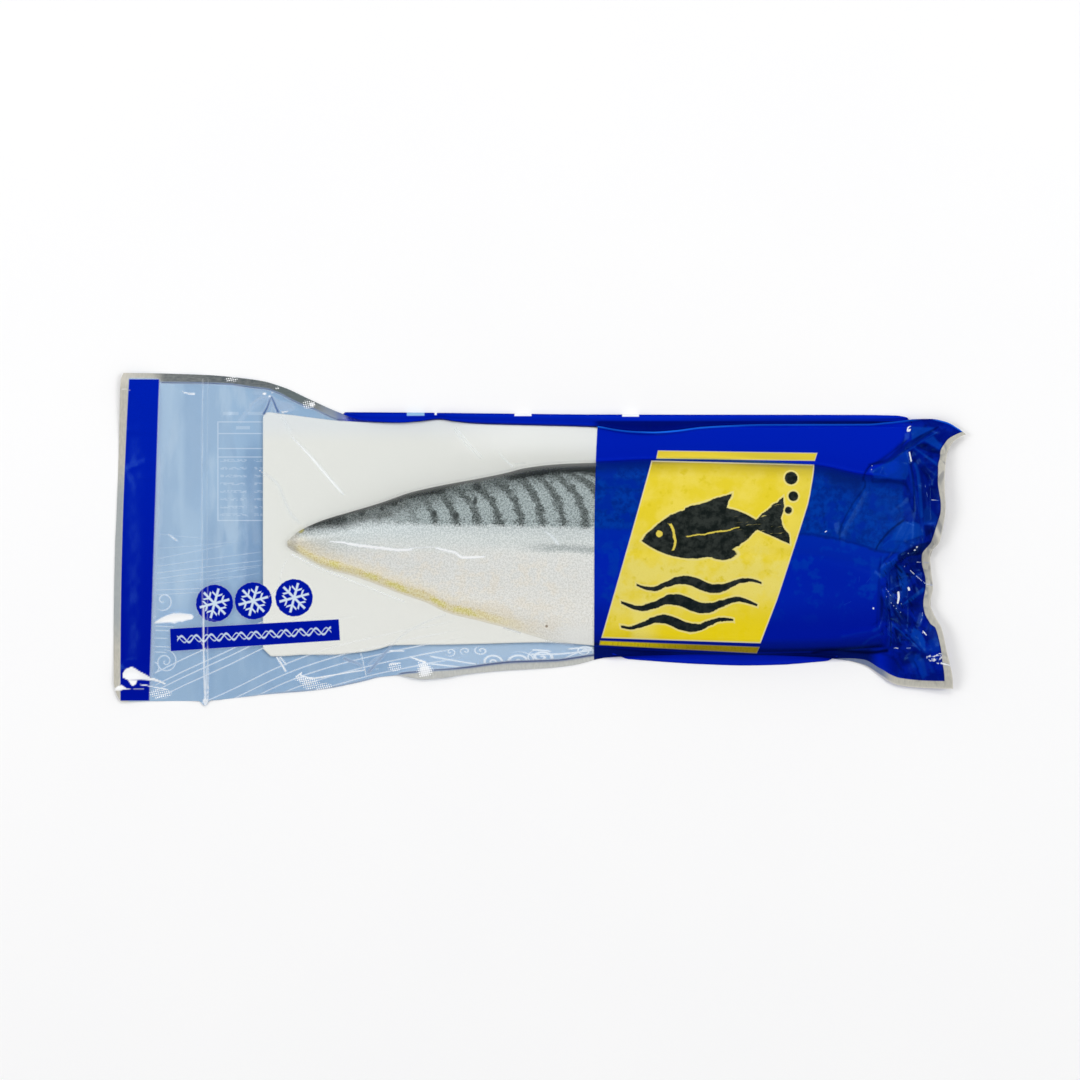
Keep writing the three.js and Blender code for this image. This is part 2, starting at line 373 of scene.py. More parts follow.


# -- empty tail end: cross seal, soft bands and the pucker at the board's corner, with painted highlights and painted shade along their folds
fold([(202.5, 376), (201.8, 480), (202.2, 600), (204, 704)], 0.5, 2.4, 2.4, taper=0.01, white=0.46)
mark(WHITENING_AND_GLINT, [(203.4, 606), (203.6, 650), (205, 701)], 0.6, 0.8, 0.8)
mark(WHITENING_AND_GLINT, [(207.6, 646), (208, 680), (207.4, 702)], 0.6, 0.6, 0.75)
mark(WHITENING_AND_GLINT, [(198, 668), (197.4, 702)], 0.25, 0.3, 0.4)
mark(WHITENING_AND_GLINT, [(205, 700.5), (204.6, 705.4)], 3.0, 0.9, 0.8, soft=0.8)
fold([(207.6, 376), (206.8, 500), (207.4, 620), (206.4, 703)], 0.4, 2.2, 3.2, taper=0.01, white=0.36)
fold([(198.2, 378), (197.4, 520), (198.6, 640), (200.5, 700)], 0.22, 2.2, 5, taper=0.02, white=0.12)
fold([(263, 414), (266.5, 405), (270.5, 397.5)], 0.55, 3, 5)
fold([(270.5, 397.5), (274.5, 405), (278, 414)], 0.5, 3, 5)
fold([(270.5, 397), (258, 398), (244, 404), (228, 418)], 0.5, 6, 14, white=0.08)
fold([(274, 394), (292, 402), (322, 417)], 0.5, 6, 10)
mark(SHADED, [(269.8, 398.6), (267.2, 406.5), (263.4, 413.5)], 1.0, 1.5, 0.95, soft=0.9)
mark(SHADED, [(271.2, 396.7), (273.7, 401.8), (275.6, 406.9), (277.8, 411.4)], 1.2, 1.6, 0.95, soft=0.9)
mark(WHITENING_AND_GLINT, [(270.8, 401), (271.4, 406), (271.2, 412)], 0.4, 1.6, 0.32, soft=1.0)
mark(SHADED, [(267.3, 397.3), (261.5, 397.3), (253.8, 401.8), (250, 405.6)], 1.3, 0.9, 0.4, soft=1.4)
mark(SHADED, [(266, 399), (256, 405), (246, 413), (240, 420)], 0.8, 2.6, 0.2, soft=3.0)
patch(SHADED, 285, 406.5, 14, 7, 0.34)
mark(SHADED, [(273, 398), (280, 402), (292, 408)], 1.0, 2.2, 0.34, soft=2.0)
patch(SHADED, 258, 392, 9, 4, 0.14)
for cx, cy, hx, hy, strength in ((264.1, 393.3, 3.2, 2.0, 1.0), (269.2, 395.9, 2.2, 1.8, 0.9), (271.8, 392.2, 2.0, 1.6, 0.6)):
    patch(WHITENING_AND_GLINT, cx, cy, hx, hy, strength)
mark(WHITENING_AND_GLINT, [(281.4, 411.7), (287.8, 411)], 0.7, 0.6, 0.95)
mark(WHITENING_AND_GLINT, [(282, 413), (300, 415.3), (317, 417.5), (336, 419.9)], 0.35, 0.35, 0.55)
mark(SHADED, [(281.4, 415), (286, 422), (291, 430)], 0.5, 0.5, 0.34, soft=0.7)
mark(WHITENING_AND_GLINT, [(182, 391.2), (187, 393), (194, 393.4)], 0.5, 0.9, 1.0)
mark(WHITENING_AND_GLINT, [(168, 533.5), (173, 537.5), (178, 541)], 0.4, 0.5, 0.7, belly=0.6)
mark(WHITENING_AND_GLINT, [(121.5, 388.6), (130, 389.6)], 0.5, 0.5, 0.7)
mark(WHITENING_AND_GLINT, [(120, 401.4), (128, 401)], 0.3, 0.2, 0.4)
fold([(127, 478), (160, 476), (192, 479)], 0.2, 5, 7)
fold([(122, 430), (150, 432), (172, 428)], 0.22, 3, 9)
fold([(124, 470), (140, 464), (158, 458)], 0.25, 10, 5)
fold([(246, 470), (250, 520), (247, 570), (240, 620)], 0.5, 9, 16)
fold([(176, 500), (172, 540), (178, 590), (174, 640)], 0.3, 14, 16)
fold([(226, 540), (232, 580), (228, 620)], 0.35, 9, 11)
mark(SHADED, [(256, 470), (253, 500), (256, 540)], 2.0, 4.0, 0.1, soft=4.0)
mark(WHITENING_AND_GLINT, [(181, 420), (186, 440), (188, 470)], 2.0, 3.0, 0.07, soft=4.0)
mark(WHITENING_AND_GLINT, [(162, 420), (167, 415), (172, 404)], 1.5, 1.0, 0.08, soft=3.0)
# -- bottom left corner: a dented seal, its bright facets painted highlights
fold([(121, 672), (129, 667.5), (139, 669), (150, 676), (164, 682)], 1.0, 4.5, 9)
fold([(116, 687.5), (131, 686), (146, 686.3), (168, 689)], 0.6, 3.5, 4)
facet(WHITENING_AND_GLINT, [(122.3, 673), (124.8, 668.8), (131.2, 666.2), (134.6, 667.4), (139, 670.6), (139, 679.3), (127.4, 679.4), (122.6, 677)], 1.0, 0.5)
mark(WHITENING_AND_GLINT, [(138.6, 675), (146, 677), (153.7, 680)], 4.3, 0.6)
mark(WHITENING_AND_GLINT, [(152, 678.3), (158.5, 680.6), (164.6, 683.2)], 1.6, 0.8)
facet(WHITENING_AND_GLINT, [(127.4, 679.2), (137, 679.6), (135.7, 683.4), (133.2, 685.2), (131.2, 684.8)], 1.0, 0.5)
facet(WHITENING_AND_GLINT, [(113.9, 688.3), (117.8, 685.1), (121.6, 684.5), (126.7, 688), (120.3, 689.9), (114.6, 690)], 1.0, 0.5)
mark(WHITENING_AND_GLINT, [(124.5, 688.4), (131, 688.8)], 0.8, 0.3)
mark(WHITENING_AND_GLINT, [(133, 688.7), (143.4, 688.6)], 0.45, 0.45, 0.9)
mark(WHITENING_AND_GLINT, [(139.6, 683.9), (148, 685.2), (156.2, 687), (167, 689.1)], 0.5, 0.75, 0.95)
mark(SHADED, [(152, 682.5), (163, 686)], 0.8, 0.4, 0.2, soft=0.8)
fold([(153, 621), (164, 616), (178, 612.6), (192, 613)], 0.7, 3.6, 7)
mark(WHITENING_AND_GLINT, [(154, 622.3), (165, 619), (178, 616.8), (190.5, 616.4)], 0.5, 2.7, 0.98, soft=1.0, belly=2.7)
mark(WHITENING_AND_GLINT, [(155, 622.8), (170, 623), (184, 620.5)], 0.4, 0.5, 0.7)
mark(WHITENING_AND_GLINT, [(160, 617), (174, 612.4), (180, 611.6)], 0.2, 0.5, 0.6)
fold([(192, 613), (214, 620), (243, 624)], 0.25, 3, 4, white=0.3)
mark(WHITENING_AND_GLINT, [(204.6, 655), (206.4, 680), (205, 703)], 0.4, 1.2, 0.5)
mark(WHITENING_AND_GLINT, [(200, 640.5), (203.5, 646), (206, 651)], 0.3, 0.5, 0.8)
mark(WHITENING_AND_GLINT, [(276.4, 656.6), (281, 663.4), (285.3, 670.4)], 0.8, 0.95, 1.0)
mark(WHITENING_AND_GLINT, [(279.6, 656.4), (286.2, 664.2)], 0.75, 0.7, 0.95)
mark(SHADED, [(317, 654.4), (333.4, 654.4)], 0.6, 0.6, 0.4)
fold([(292, 681.5), (306, 682), (320, 684.5)], 0.4, 2.5, 4)
fold([(301, 674.5), (309, 681), (318, 689)], 0.3, 2.4, 3)
fold([(308, 678.6), (330, 676), (351, 673), (362, 671.5)], 0.5, 3, 5)
mark(WHITENING_AND_GLINT, [(300, 674.6), (312.7, 677.6), (336.6, 673.8), (363.9, 669.4)], 0.9, 0.55, 1.0)
mark(WHITENING_AND_GLINT, [(301.5, 672), (295.5, 676.4)], 0.7, 0.7, 1.0)
mark(WHITENING_AND_GLINT, [(375, 668.7), (378, 668.3)], 0.4, 0.4, 0.8)
fold([(338, 655), (352, 660), (364, 667)], 0.5, 3, 7)
mark(SHADED, [(344.3, 658), (349.7, 660.2), (356.3, 662.3), (361.7, 665.6)], 1.3, 0.7, 0.75, soft=0.7)
fold([(362, 654), (364, 664), (364.5, 672)], 0.4, 2.5, 3)
mark(WHITENING_AND_GLINT, [(360.6, 653.1), (363.4, 664), (365.5, 674.9)], 0.7, 0.7, 0.7, soft=0.7)
mark(WHITENING_AND_GLINT, [(389.5, 650.6), (396, 650.2), (403.4, 650.5)], 0.8, 0.6, 1.0)
mark(WHITENING_AND_GLINT, [(389, 663.6), (399.8, 662.4)], 0.8, 0.6, 1.0)
mark(WHITENING_AND_GLINT, [(409.6, 656.3), (417, 659), (424.9, 661.8)], 0.6, 1.2, 1.0)
fold([(411, 656.5), (420, 664), (424, 674)], 0.4, 2.5, 3)
# knurled patches of the seal, frosty where the film is pressed hardest
for corners, strength in (
    ([(299, 674.5), (311, 677.5), (312, 688.5), (303, 684), (292, 679)], 1.12),
    ([(389, 663.5), (400, 662), (398, 665), (391, 666)], 1.15),
    ([(417, 661), (427, 662), (429, 669), (428, 676.5), (419, 677)], 1.2),
):
    facet(FROST, corners, strength, soft=2.2)
for cx, cy, hx, hy, strength in (
    (231, 379, 11, 4.4, 1.0), (311.5, 404, 6, 5, 1.25), (307, 404, 9, 8, 0.95), (277, 387.5, 4, 2.4, 1.05),
    (160, 693, 20, 9, 0.94), (322, 686, 18, 7, 1.0), (310, 683, 17, 11, 1.0), (923, 632, 4, 3, 0.8), (394, 666.5, 12, 8, 1.0), (424.5, 669.5, 13, 11, 1.3),
):
    patch(FROST, cx, cy, hx, hy, strength)
# and scattered white specks where the printed seal is knurled, painted as its sparkle
specks = np.random.default_rng(52)
for _ in range(46):
    sx = specks.uniform(0, 1)
    sy = specks.uniform(-1, 1)
    patch(WHITENING_AND_GLINT, 925 + 15 * sx, 657 + 1.5 * sx + sy * (1.6 + 4.2 * sx), specks.uniform(1.0, 2.3), specks.uniform(0.8, 1.2), specks.uniform(0.45, 1.0))
# -- over the board: painted highlights and shade along the film's folds, and a thin painted shadow beside the fillet's back
fold([(279, 415), (298, 438), (320, 466), (342.4, 493.7)], 0.16, 1.7, twin=1.5, taper=0.08, white=0.3, white_width=0.55)
mark(WHITENING_AND_GLINT, [(292, 437), (310, 456), (328, 477), (343, 494)], 0.45, 0.7, 0.9, soft=0.7, belly=0.5)
mark(SHADED, [(295.5, 437), (313, 456), (331, 477), (345, 493)], 0.4, 0.5, 0.16, soft=0.8)
mark(SHADED, [(279, 415), (292, 436), (312, 456), (341, 489)], 0.3, 0.2, 0.3, soft=0.7)
fold([(453, 425.5), (467, 443), (483.7, 460)], 0.14, 1.7, twin=1.4, taper=0.1, white=0.75, white_width=0.5)
mark(WHITENING_AND_GLINT, [(497, 450), (505, 459), (512.5, 466)], 0.3, 0.7, 0.7, soft=0.9)
mark(WHITENING_AND_GLINT, [(501, 456), (507, 463), (512, 465)], 0.2, 0.4, 0.5, soft=0.6)
mark(WHITENING_AND_GLINT, [(514, 463.5), (525, 462.5)], 0.5, 0.5, 0.5, soft=0.8)
fold([(258.8, 469.5), (276.4, 482.7), (285, 502), (292.5, 516), (302.8, 525)], 0.18, 1.6, 2.2, white=0.5, white_width=0.6, dark=0.34)
mark(WHITENING_AND_GLINT, [(258.8, 469.5), (264, 473.5)], 0.6, 0.3, 0.9)
fold([(289, 555), (283, 566), (278, 585), (270, 595), (262, 600)], 0.2, 2.0, 3.0, white=0.5, white_width=0.6)
fold([(291, 556), (286, 568), (281, 586)], 0.1, 1.6, 2.0, white=0.25, white_width=0.5)
fold([(287, 552.5), (318, 567), (350, 579.5), (404, 601)], 0.2, 1.6, 2.8, taper=0.03)
mark(WHITENING_AND_GLINT, [(291, 553.5), (318, 567), (350, 579.5), (404, 601)], 0.5, 0.35, 0.95, soft=0.6)
mark(SHADED, [(291, 555.3), (318, 568.8), (350, 581.3), (404, 602.8)], 0.4, 0.3, 0.16, soft=0.9)
fold([(442, 614), (416, 628), (397, 639), (385, 649), (376, 660), (367, 671)], 0.3, 2.0, 3.5, taper=0.05)
mark(SHADED, [(391, 645.4), (380, 658), (368.2, 671.6)], 0.7, 1.5, 0.66, soft=0.9)
mark(SHADED, [(445, 614), (420, 624), (402, 635), (391, 646)], 0.5, 0.6, 0.34, soft=0.7)
mark(SHADED, [(386, 651), (377, 657), (369, 663)], 0.6, 1.2, 0.4, soft=1.2)
fold([(404, 601), (436, 614), (478, 628), (520, 640)], 0.14, 1.8, 3.0, taper=0.05, white=0.14, white_width=0.5)
mark(WHITENING_AND_GLINT, [(402, 598), (430, 600.5), (460, 606)], 0.3, 0.2, 0.16)
mark(SHADED, [(x, float(fish_back(x)) - 1.9) for x in range(306, 596, 24)], 0.4, 0.8, 0.13, soft=0.9)
# -- over the fillet: painted highlights in the film, and painted shade along the belly edge
mark(SHADED, [(545, 640.6), (560, 643), (573, 644)], 0.6, 0.6, 0.6)
mark(SHADED, [(503, 627), (511, 629.6), (520, 632.4)], 0.5, 0.6, 0.5)
mark(WHITENING_AND_GLINT, [(596.3, 428), (595.7, 440), (594.6, 462)], 0.4, 0.35, 0.9)
mark(WHITENING_AND_GLINT, [(592.4, 600), (592.5, 622), (592.5, 643)], 0.3, 0.35, 0.6)
mark(WHITENING_AND_GLINT, [(330, 541), (342, 541.8), (353, 544), (384, 547.8), (400, 549.6), (412, 549)], 0.6, 1.0, 1.0, belly=0.7)
mark(WHITENING_AND_GLINT, [(352, 542), (372, 542.6), (392, 545.4), (418, 545)], 0.2, 0.4, 0.5)
mark(WHITENING_AND_GLINT, [(398, 540.5), (420, 541), (436, 543.4)], 0.2, 0.3, 0.4)
mark(WHITENING_AND_GLINT, [(404, 547.5), (420, 547.2), (434, 545.8)], 0.5, 0.5, 0.7)
mark(WHITENING_AND_GLINT, [(436.5, 547.6), (447, 550), (456, 552.4), (463, 556.8), (484, 556)], 0.9, 0.9, 1.0, soft=0.7, belly=0.5)
mark(WHITENING_AND_GLINT, [(395, 572), (424, 582), (470, 597)], 0.3, 0.3, 0.16)
mark(WHITENING_AND_GLINT, [(544, 530), (551, 535.5), (557, 543)], 1.0, 2.0, 0.5, soft=1.4)
mark(WHITENING_AND_GLINT, [(496, 606), (520, 612), (560, 626)], 0.3, 0.3, 0.22)
mark(WHITENING_AND_GLINT, [(500, 613), (530, 620), (572, 634)], 0.3, 0.3, 0.18)

# -- head end: the film is drawn in between the cut end and the seal
HEAD_FOLDS = (
    ([(936, 424), (920, 437), (904, 449), (884, 464), (867, 474)], 2.6, 5, 13),
    ([(904, 449), (908, 470), (914, 500), (920, 524), (922, 560)], 2.6, 6, 10),
    ([(909, 429), (908, 440), (905, 449)], 1.5, 4, 7),
    ([(867, 474), (864, 483), (856, 500), (846, 517), (839, 530), (834, 549)], 0.45, 2.5, 5),
    ([(884, 470), (878, 478), (870, 480)], 1.2, 4, 6),
    ([(903, 474), (898, 466), (880, 469)], 0.9, 5, 8),
    ([(829, 520), (831, 530), (836, 540)], 0.8, 3, 6),
    ([(884, 583), (876, 575), (869, 571)], 0.9, 3, 5),
    ([(904, 541), (896, 553), (884, 564), (878, 574)], 2.1, 3.5, 9),
    ([(904, 541), (916, 545), (922, 556), (921, 570)], 1.6, 5, 6),
    ([(921, 570), (908, 581), (892, 588), (884, 590)], 1.6, 6, 5),
    ([(943, 462), (934, 472), (930, 488)], 1.2, 4, 7),
    ([(912, 452), (926, 468), (938, 478)], 1.5, 4, 8),
    ([(914, 462), (926, 500), (929, 520), (939, 545)], 1.3, 4, 6),
    ([(910, 452), (930, 450), (944, 446)], 1.3, 6, 6),
    ([(931, 500), (935, 500.6), (940, 499.4)], 0.5, 2, 3),
    ([(926, 520), (934, 536), (936, 552)], 1.2, 5, 7),
    ([(917, 561.5), (924, 562.6), (929, 562.2)], 0.5, 2, 2.5),
    ([(909, 570), (916, 577), (922, 582.5), (930, 584)], 1.0, 2.6, 4),
    ([(893, 556), (886, 572), (884, 600), (886, 640)], 1.3, 4, 9),
    ([(892, 590), (897, 606), (904, 620), (912, 633)], 1.5, 5, 8),
    ([(897, 578), (902, 590), (898, 602)], 1.6, 5, 6),
    ([(904, 575), (909, 590), (907, 600)], 1.2, 4, 5),
    ([(880, 586), (888, 606), (900, 624), (914, 640)], 1.1, 4, 6),
    ([(898, 606), (912, 598), (925, 588)], 1.2, 5, 6),
    ([(889, 618), (889.5, 634), (889, 648)], 1.2, 3, 6),
    ([(890, 622), (904, 631), (918, 640), (930, 652)], 1.4, 5, 8),
    ([(923, 612), (920, 622), (916, 628)], 0.8, 3, 5),
    ([(920, 628), (918, 642), (926, 655), (932, 676)], 1.3, 6, 7),
    ([(893, 640), (906, 643), (920, 650), (938, 657)], 1.1, 4, 7),
    ([(930, 660), (938, 656.5), (950, 663)], 0.7, 3, 3),
    ([(905, 655), (912, 664), (918, 680)], 0.9, 5, 6),
    ([(836, 637), (856, 633), (872, 630), (882, 625)], 0.9, 3, 6),
    ([(884, 586), (884, 610), (878, 624), (868, 632)], 1.0, 3, 6),
    ([(800, 655), (830, 653), (862, 651), (886, 648)], 0.5, 2, 3),
)
for points, height, left, right in HEAD_FOLDS:
    fold(points, height * 0.62, left, right, sharp=1.1)
# creases, where the film doubles, with their shade painted in
for points, start, end, strength, soft in (
    ([(861, 477), (862.5, 486), (851, 502), (843, 516), (837.5, 529), (837, 538)], 0.8, 0.5, 0.6, 1.3),
    ([(885, 461), (871, 464), (864, 473), (861, 480)], 0.8, 0.9, 0.7, 1.2),
    ([(872, 480.4), (891, 481), (904, 485), (908.8, 496.8)], 2.4, 0.7, 0.4, 1.2),
    ([(900.7, 520), (893, 525.6), (886.2, 531.2), (877.1, 541.8), (873.5, 548.2)], 1.1, 0.8, 0.7, 0.9),
    ([(821, 513), (822.5, 527)], 0.6, 0.5, 0.45, 1.1),
    ([(878, 556), (877, 574), (875.8, 599), (875, 626)], 0.4, 0.7, 0.4, 1.6),
    ([(889.3, 618), (889.6, 632), (889.3, 645)], 0.6, 0.7, 0.8, 0.8),
    ([(812, 652), (833, 649.5), (867, 652), (886, 650)], 1.0, 1.8, 0.95, 1.4),
    ([(880, 652), (893, 658), (900, 668)], 1.4, 0.8, 0.45, 2.0),
    ([(926, 560), (918, 570), (907, 574)], 1.0, 1.6, 0.5, 1.8),
    ([(936, 560), (931, 590), (936, 620)], 1.2, 1.2, 0.35, 2.0),
    ([(909.4, 461), (911.4, 480), (911.8, 511)], 1.2, 1.0, 0.55, 0.9),
    ([(893.5, 564.5), (897, 568), (900.7, 571.8)], 1.3, 0.9, 0.85, 0.7),
    ([(895.3, 571.8), (898, 586.4)], 0.5, 0.5, 0.6, 0.8),
    ([(908, 572.7), (908, 581.8)], 0.6, 0.5, 0.55, 0.8),
    ([(900, 639), (909.6, 640)], 0.8, 0.5, 0.75, 0.7),
    ([(895, 600), (893, 611), (889.6, 622)], 0.8, 0.6, 0.5, 1.2),
    ([(903, 614), (914, 622), (924, 628)], 1.0, 0.6, 0.5, 1.4),
    ([(898, 648), (909, 655), (917, 668)], 0.8, 0.8, 0.5, 1.2),
    ([(927, 600), (929, 618), (926, 632)], 0.7, 0.7, 0.4, 1.4),
):
    mark(SHADED, points, start, end, strength, soft)
mark(SHADED, [(936.6, 427), (922, 435.5), (908.5, 444), (896.5, 453), (886, 460.4), (868, 464)], 0.5, 0.7, 0.55, 0.8, belly=2.3)
# darker facets, painted shade
for corners, strength, soft in (
    ([(914.4, 444.9), (919.9, 443), (927.4, 444), (938.5, 450.5), (938, 454.2), (923.7, 450.5)], 0.62, 0.9),
    ([(914, 451), (937, 467), (938, 521), (922, 521), (915, 470)], 0.28, 3.0),
    ([(873, 485), (903, 488), (908, 499), (905, 516), (874, 519)], 0.08, 3.0),
    ([(895.3, 553.6), (918.9, 542.7), (931.6, 540.9), (924.4, 553.6), (904.4, 556.4), (895, 557)], 0.75, 0.9),
    ([(894.6, 554), (905, 555.5), (898.9, 562.7), (894.4, 558.2)], 0.75, 0.9),
    ([(922.5, 524.5), (935.3, 525.5), (933.5, 530), (924.4, 536.4), (922.5, 530)], 0.55, 1.0),
    ([(891.5, 607), (905, 613), (912.5, 619), (909.5, 625), (893, 622)], 0.5, 1.4),
    ([(877.5, 597), (889, 597), (889, 621), (878, 621)], 0.42, 3.0),
    ([(896, 652), (916, 650), (912, 662), (902, 664)], 0.4, 1.4),
    ([(907, 557), (925, 555), (922, 571), (909, 571)], 0.25, 2.0),
    ([(926, 470), (935, 479.7), (938.4, 496.6), (932.4, 496.6)], 0.35, 1.6),
    ([(910, 586), (925, 575), (936, 577), (934, 584), (912, 594)], 0.22, 2.0),
    ([(928, 592), (937, 596), (936, 624), (929, 620)], 0.3, 2.4),
    ([(892, 627), (903, 637), (899, 645), (891, 645)], 0.3, 1.4),
    ([(906, 593), (921, 591), (925, 604), (910, 611)], 0.34, 2.0),
):
    facet(SHADED, corners, strength, soft)
# facets that are turned to the light, painted lighter
for corners, strength, soft in (
    ([(910.7, 426.3), (932.9, 427.3), (910.7, 440.3)], 0.7, 0.9),
    ([(922.7, 440.3), (932, 435.6), (941.3, 445.8), (938.5, 449.5), (927.4, 443)], 0.72, 0.8),
    ([(871.7, 471.3), (890.3, 460.2), (907, 450.5), (907, 473.7), (904.2, 479.2), (872.6, 477.6)], 0.5, 1.0),
    ([(926.2, 504.5), (937.1, 518.2), (936.2, 523.6), (921.6, 524.5), (922.5, 509)], 0.5, 1.0),
    ([(899.8, 521.5), (911, 521.5), (917.5, 524), (921.6, 534.5), (918, 540.9), (911.6, 544.5), (902.5, 549), (893.5, 551.8), (883.5, 550.9), (879.8, 546.4)], 0.3, 0.9),
    ([(899.8, 521.5), (911, 521.5), (917.5, 524), (921.6, 534.5), (905, 540), (887, 540)], 0.85, 1.4),
    ([(879.8, 562.7), (893.5, 560), (894.4, 563.6), (884.4, 575.5), (876.2, 577.3)], 0.5, 1.0),
    ([(895.3, 564.5), (899.8, 565.5), (906.2, 575.5), (905.3, 590.9), (898.9, 586.4)], 0.75, 0.9),
    ([(900, 605), (908, 598), (921, 587.6), (924.6, 587.4), (924, 590), (910, 601)], 0.85, 0.7),
    ([(912.4, 626.9), (919, 630.6), (923.8, 640), (923.8, 650.5), (915.3, 643), (909.6, 636.3)], 0.75, 1.0),
    ([(917, 653.5), (923, 659.5), (926, 674.5), (921.5, 679), (915.5, 664)], 0.45, 1.2),
    ([(868, 556), (876, 558), (875, 590), (868, 590)], 0.3, 1.6),
    ([(896, 499), (905, 497), (909, 510), (898, 512)], 0.25, 1.4),
    ([(878, 500), (890, 494), (888, 512), (872, 520)], 0.25, 1.6),
    ([(884, 571), (895, 568), (896, 595), (886, 595)], 0.22, 1.6),
    ([(900, 575), (908, 583), (905, 596), (898, 600)], 0.4, 1.2),
    ([(927, 640), (938, 634), (941, 650), (929, 652)], 0.35, 1.6),
    ([(908, 655), (919, 653), (922, 667), (911, 667)], 0.4, 1.6),
):
    facet(LIT, corners, strength, soft)
for points, start, end, strength, soft in (
    ([(935.7, 431.9), (922, 440.2), (911.6, 447.4), (890.3, 459.9), (872.6, 470)], 0.45, 0.5, 0.8, 0.8),
    ([(913.5, 447.7), (925, 456), (936.6, 464.4)], 0.5, 1.5, 0.7, 0.9),
    ([(914, 463.5), (916.6, 473.7), (918.8, 501.5), (920, 515.4)], 1.4, 1.9, 0.72, 0.9),
    ([(894.4, 533.6), (886.2, 540), (879.8, 545.5)], 0.5, 0.5, 0.8, 0.7),
    ([(880.3, 556.4), (878, 570)], 0.45, 0.45, 0.6, 0.8),
    ([(890.7, 623.1), (903.9, 634.4), (919, 649.5)], 0.5, 0.6, 0.75, 0.8),
    ([(880, 588), (884, 601), (889, 610), (893, 615)], 0.2, 0.4, 0.45, 0.8),
    ([(857, 500), (846, 518), (840, 532)], 0.3, 0.2, 0.35, 0.9),
    ([(862, 643), (870, 637), (880, 633)], 0.5, 0.5, 0.3, 1.6),
    ([(896.4, 573), (899.4, 586)], 0.3, 0.3, 0.6, 0.7),
    ([(928, 601), (931, 616), (929, 630)], 0.3, 0.5, 0.5, 1.0),
):
    mark(LIT, points, start, end, strength, soft)
# painted highlights: bright nicks on the sharpest of them, some broken into dots
for points, start, end, white in (
    ([(909.8, 425.8), (907.4, 427.2), (906.9, 430.6)], 0.5, 0.9, 1.0),
    ([(908.4, 430.4), (909.2, 429.2)], 0.9, 0.9, 1.0),
    ([(908.4, 451.9), (909.4, 456.5), (910.2, 460.7)], 0.7, 0.7, 1.0),
    ([(897.1, 592), (897.4, 597), (896.4, 602.3)], 1.2, 0.9, 1.0),
    ([(907.6, 587.4), (908.2, 589.2)], 1.1, 1.1, 1.0),
    ([(893.4, 647.4), (897.4, 647.5)], 0.5, 0.5, 0.9),
    ([(905.7, 647.4), (909.7, 647.6)], 0.5, 0.5, 0.9),
    ([(930.2, 499.6), (939.4, 499.8)], 0.4, 0.3, 0.8),
    ([(909.4, 570), (913, 573.4)], 0.5, 0.5, 0.9),
    ([(915, 575.2), (919, 578.6), (921, 580.6)], 0.5, 0.4, 0.8),
    ([(922.6, 581.6), (926, 583.6), (931.6, 584.5)], 0.4, 0.5, 0.85),
    ([(915.7, 561.4), (920, 562)], 0.4, 0.4, 0.8),
    ([(922.4, 562.2), (928, 562.3)], 0.4, 0.4, 0.8),
    ([(921.4, 611.7), (921.2, 615.4)], 0.4, 0.4, 0.7),
    ([(920.8, 618), (919.4, 621.4)], 0.4, 0.4, 0.7),
    ([(921.9, 630.6), (925.2, 634.4)], 0.6, 0.6, 0.9),
    ([(923.6, 484.4), (924, 487)], 0.4, 0.4, 0.6),
    ([(925, 492), (926, 496.4)], 0.4, 0.4, 0.6),
    ([(883.5, 587.3), (886.4, 591)], 0.4, 0.4, 0.7),
    ([(887.6, 593), (889.8, 595.5)], 0.4, 0.4, 0.7),
    ([(842, 604), (849, 600.5)], 0.4, 0.4, 0.4),
    ([(857, 576), (856.6, 581)], 0.4, 0.4, 0.35),
    ([(864, 582), (868, 577)], 0.4, 0.4, 0.35),
    ([(940, 662.4), (948.3, 664.7)], 1.0, 0.5, 0.95),
    ([(903.5, 521.9), (911.6, 524.9)], 0.6, 0.6, 0.4),
    ([(917.5, 524.4), (921.4, 534)], 0.4, 0.4, 0.34),
):
    mark(WHITENING_AND_GLINT, points, start, end, white, soft=0.55)
for cx, cy in (
    (912.3, 549.5), (914.4, 546.6), (871.3, 607.5), (823, 531),
):
    patch(WHITENING_AND_GLINT, cx, cy, 1.5, 1.5, 1.0)
for cx, cy in (
    (871.4, 465.3), (870.8, 469), (894.9, 608), (889.7, 602.3), (886.9, 591), (905.4, 552.6), (892.2, 605.2), (899.4, 611.4), (900.2, 603),
    (884.6, 596), (903, 566),
):
    patch(WHITENING_AND_GLINT, cx, cy, 1.1, 1.3, 0.62)

# Crumpled facets between the drawn folds, and slight waves everywhere else.
crumple = np.zeros_like(GX)
rng = np.random.default_rng(41)
for _ in range(46):
    a = rng.uniform(0, np.pi)
    cx, cy = rng.uniform(893, 940), rng.uniform(430, 684)
    d = np.abs((GX - cx) * np.sin(a) - (GY - cy) * np.cos(a))
    near = np.exp(-(((GX - cx) ** 2 + (GY - cy) ** 2) / (2 * rng.uniform(6, 14) ** 2)))
    crumple += rng.uniform(-0.36, 0.36) * np.clip(1 - d / rng.uniform(3, 8), 0, 1) * near
crumple *= ease(GX, 886, 900)
waves = (
    0.16 * value_noise(GX, GY, 34, 21)
    + 0.07 * value_noise(GX, GY, 13, 22)
    + 0.03 * value_noise(GX, GY, 5.5, 23)
)
on_flap = 1 - ease(GX, 246, 262)
bands = 0.28 * np.sin(GX / 9.5 + 1.4 * value_noise(GX, GY, 80, 24)) * on_flap * ease(GX, 158, 172)

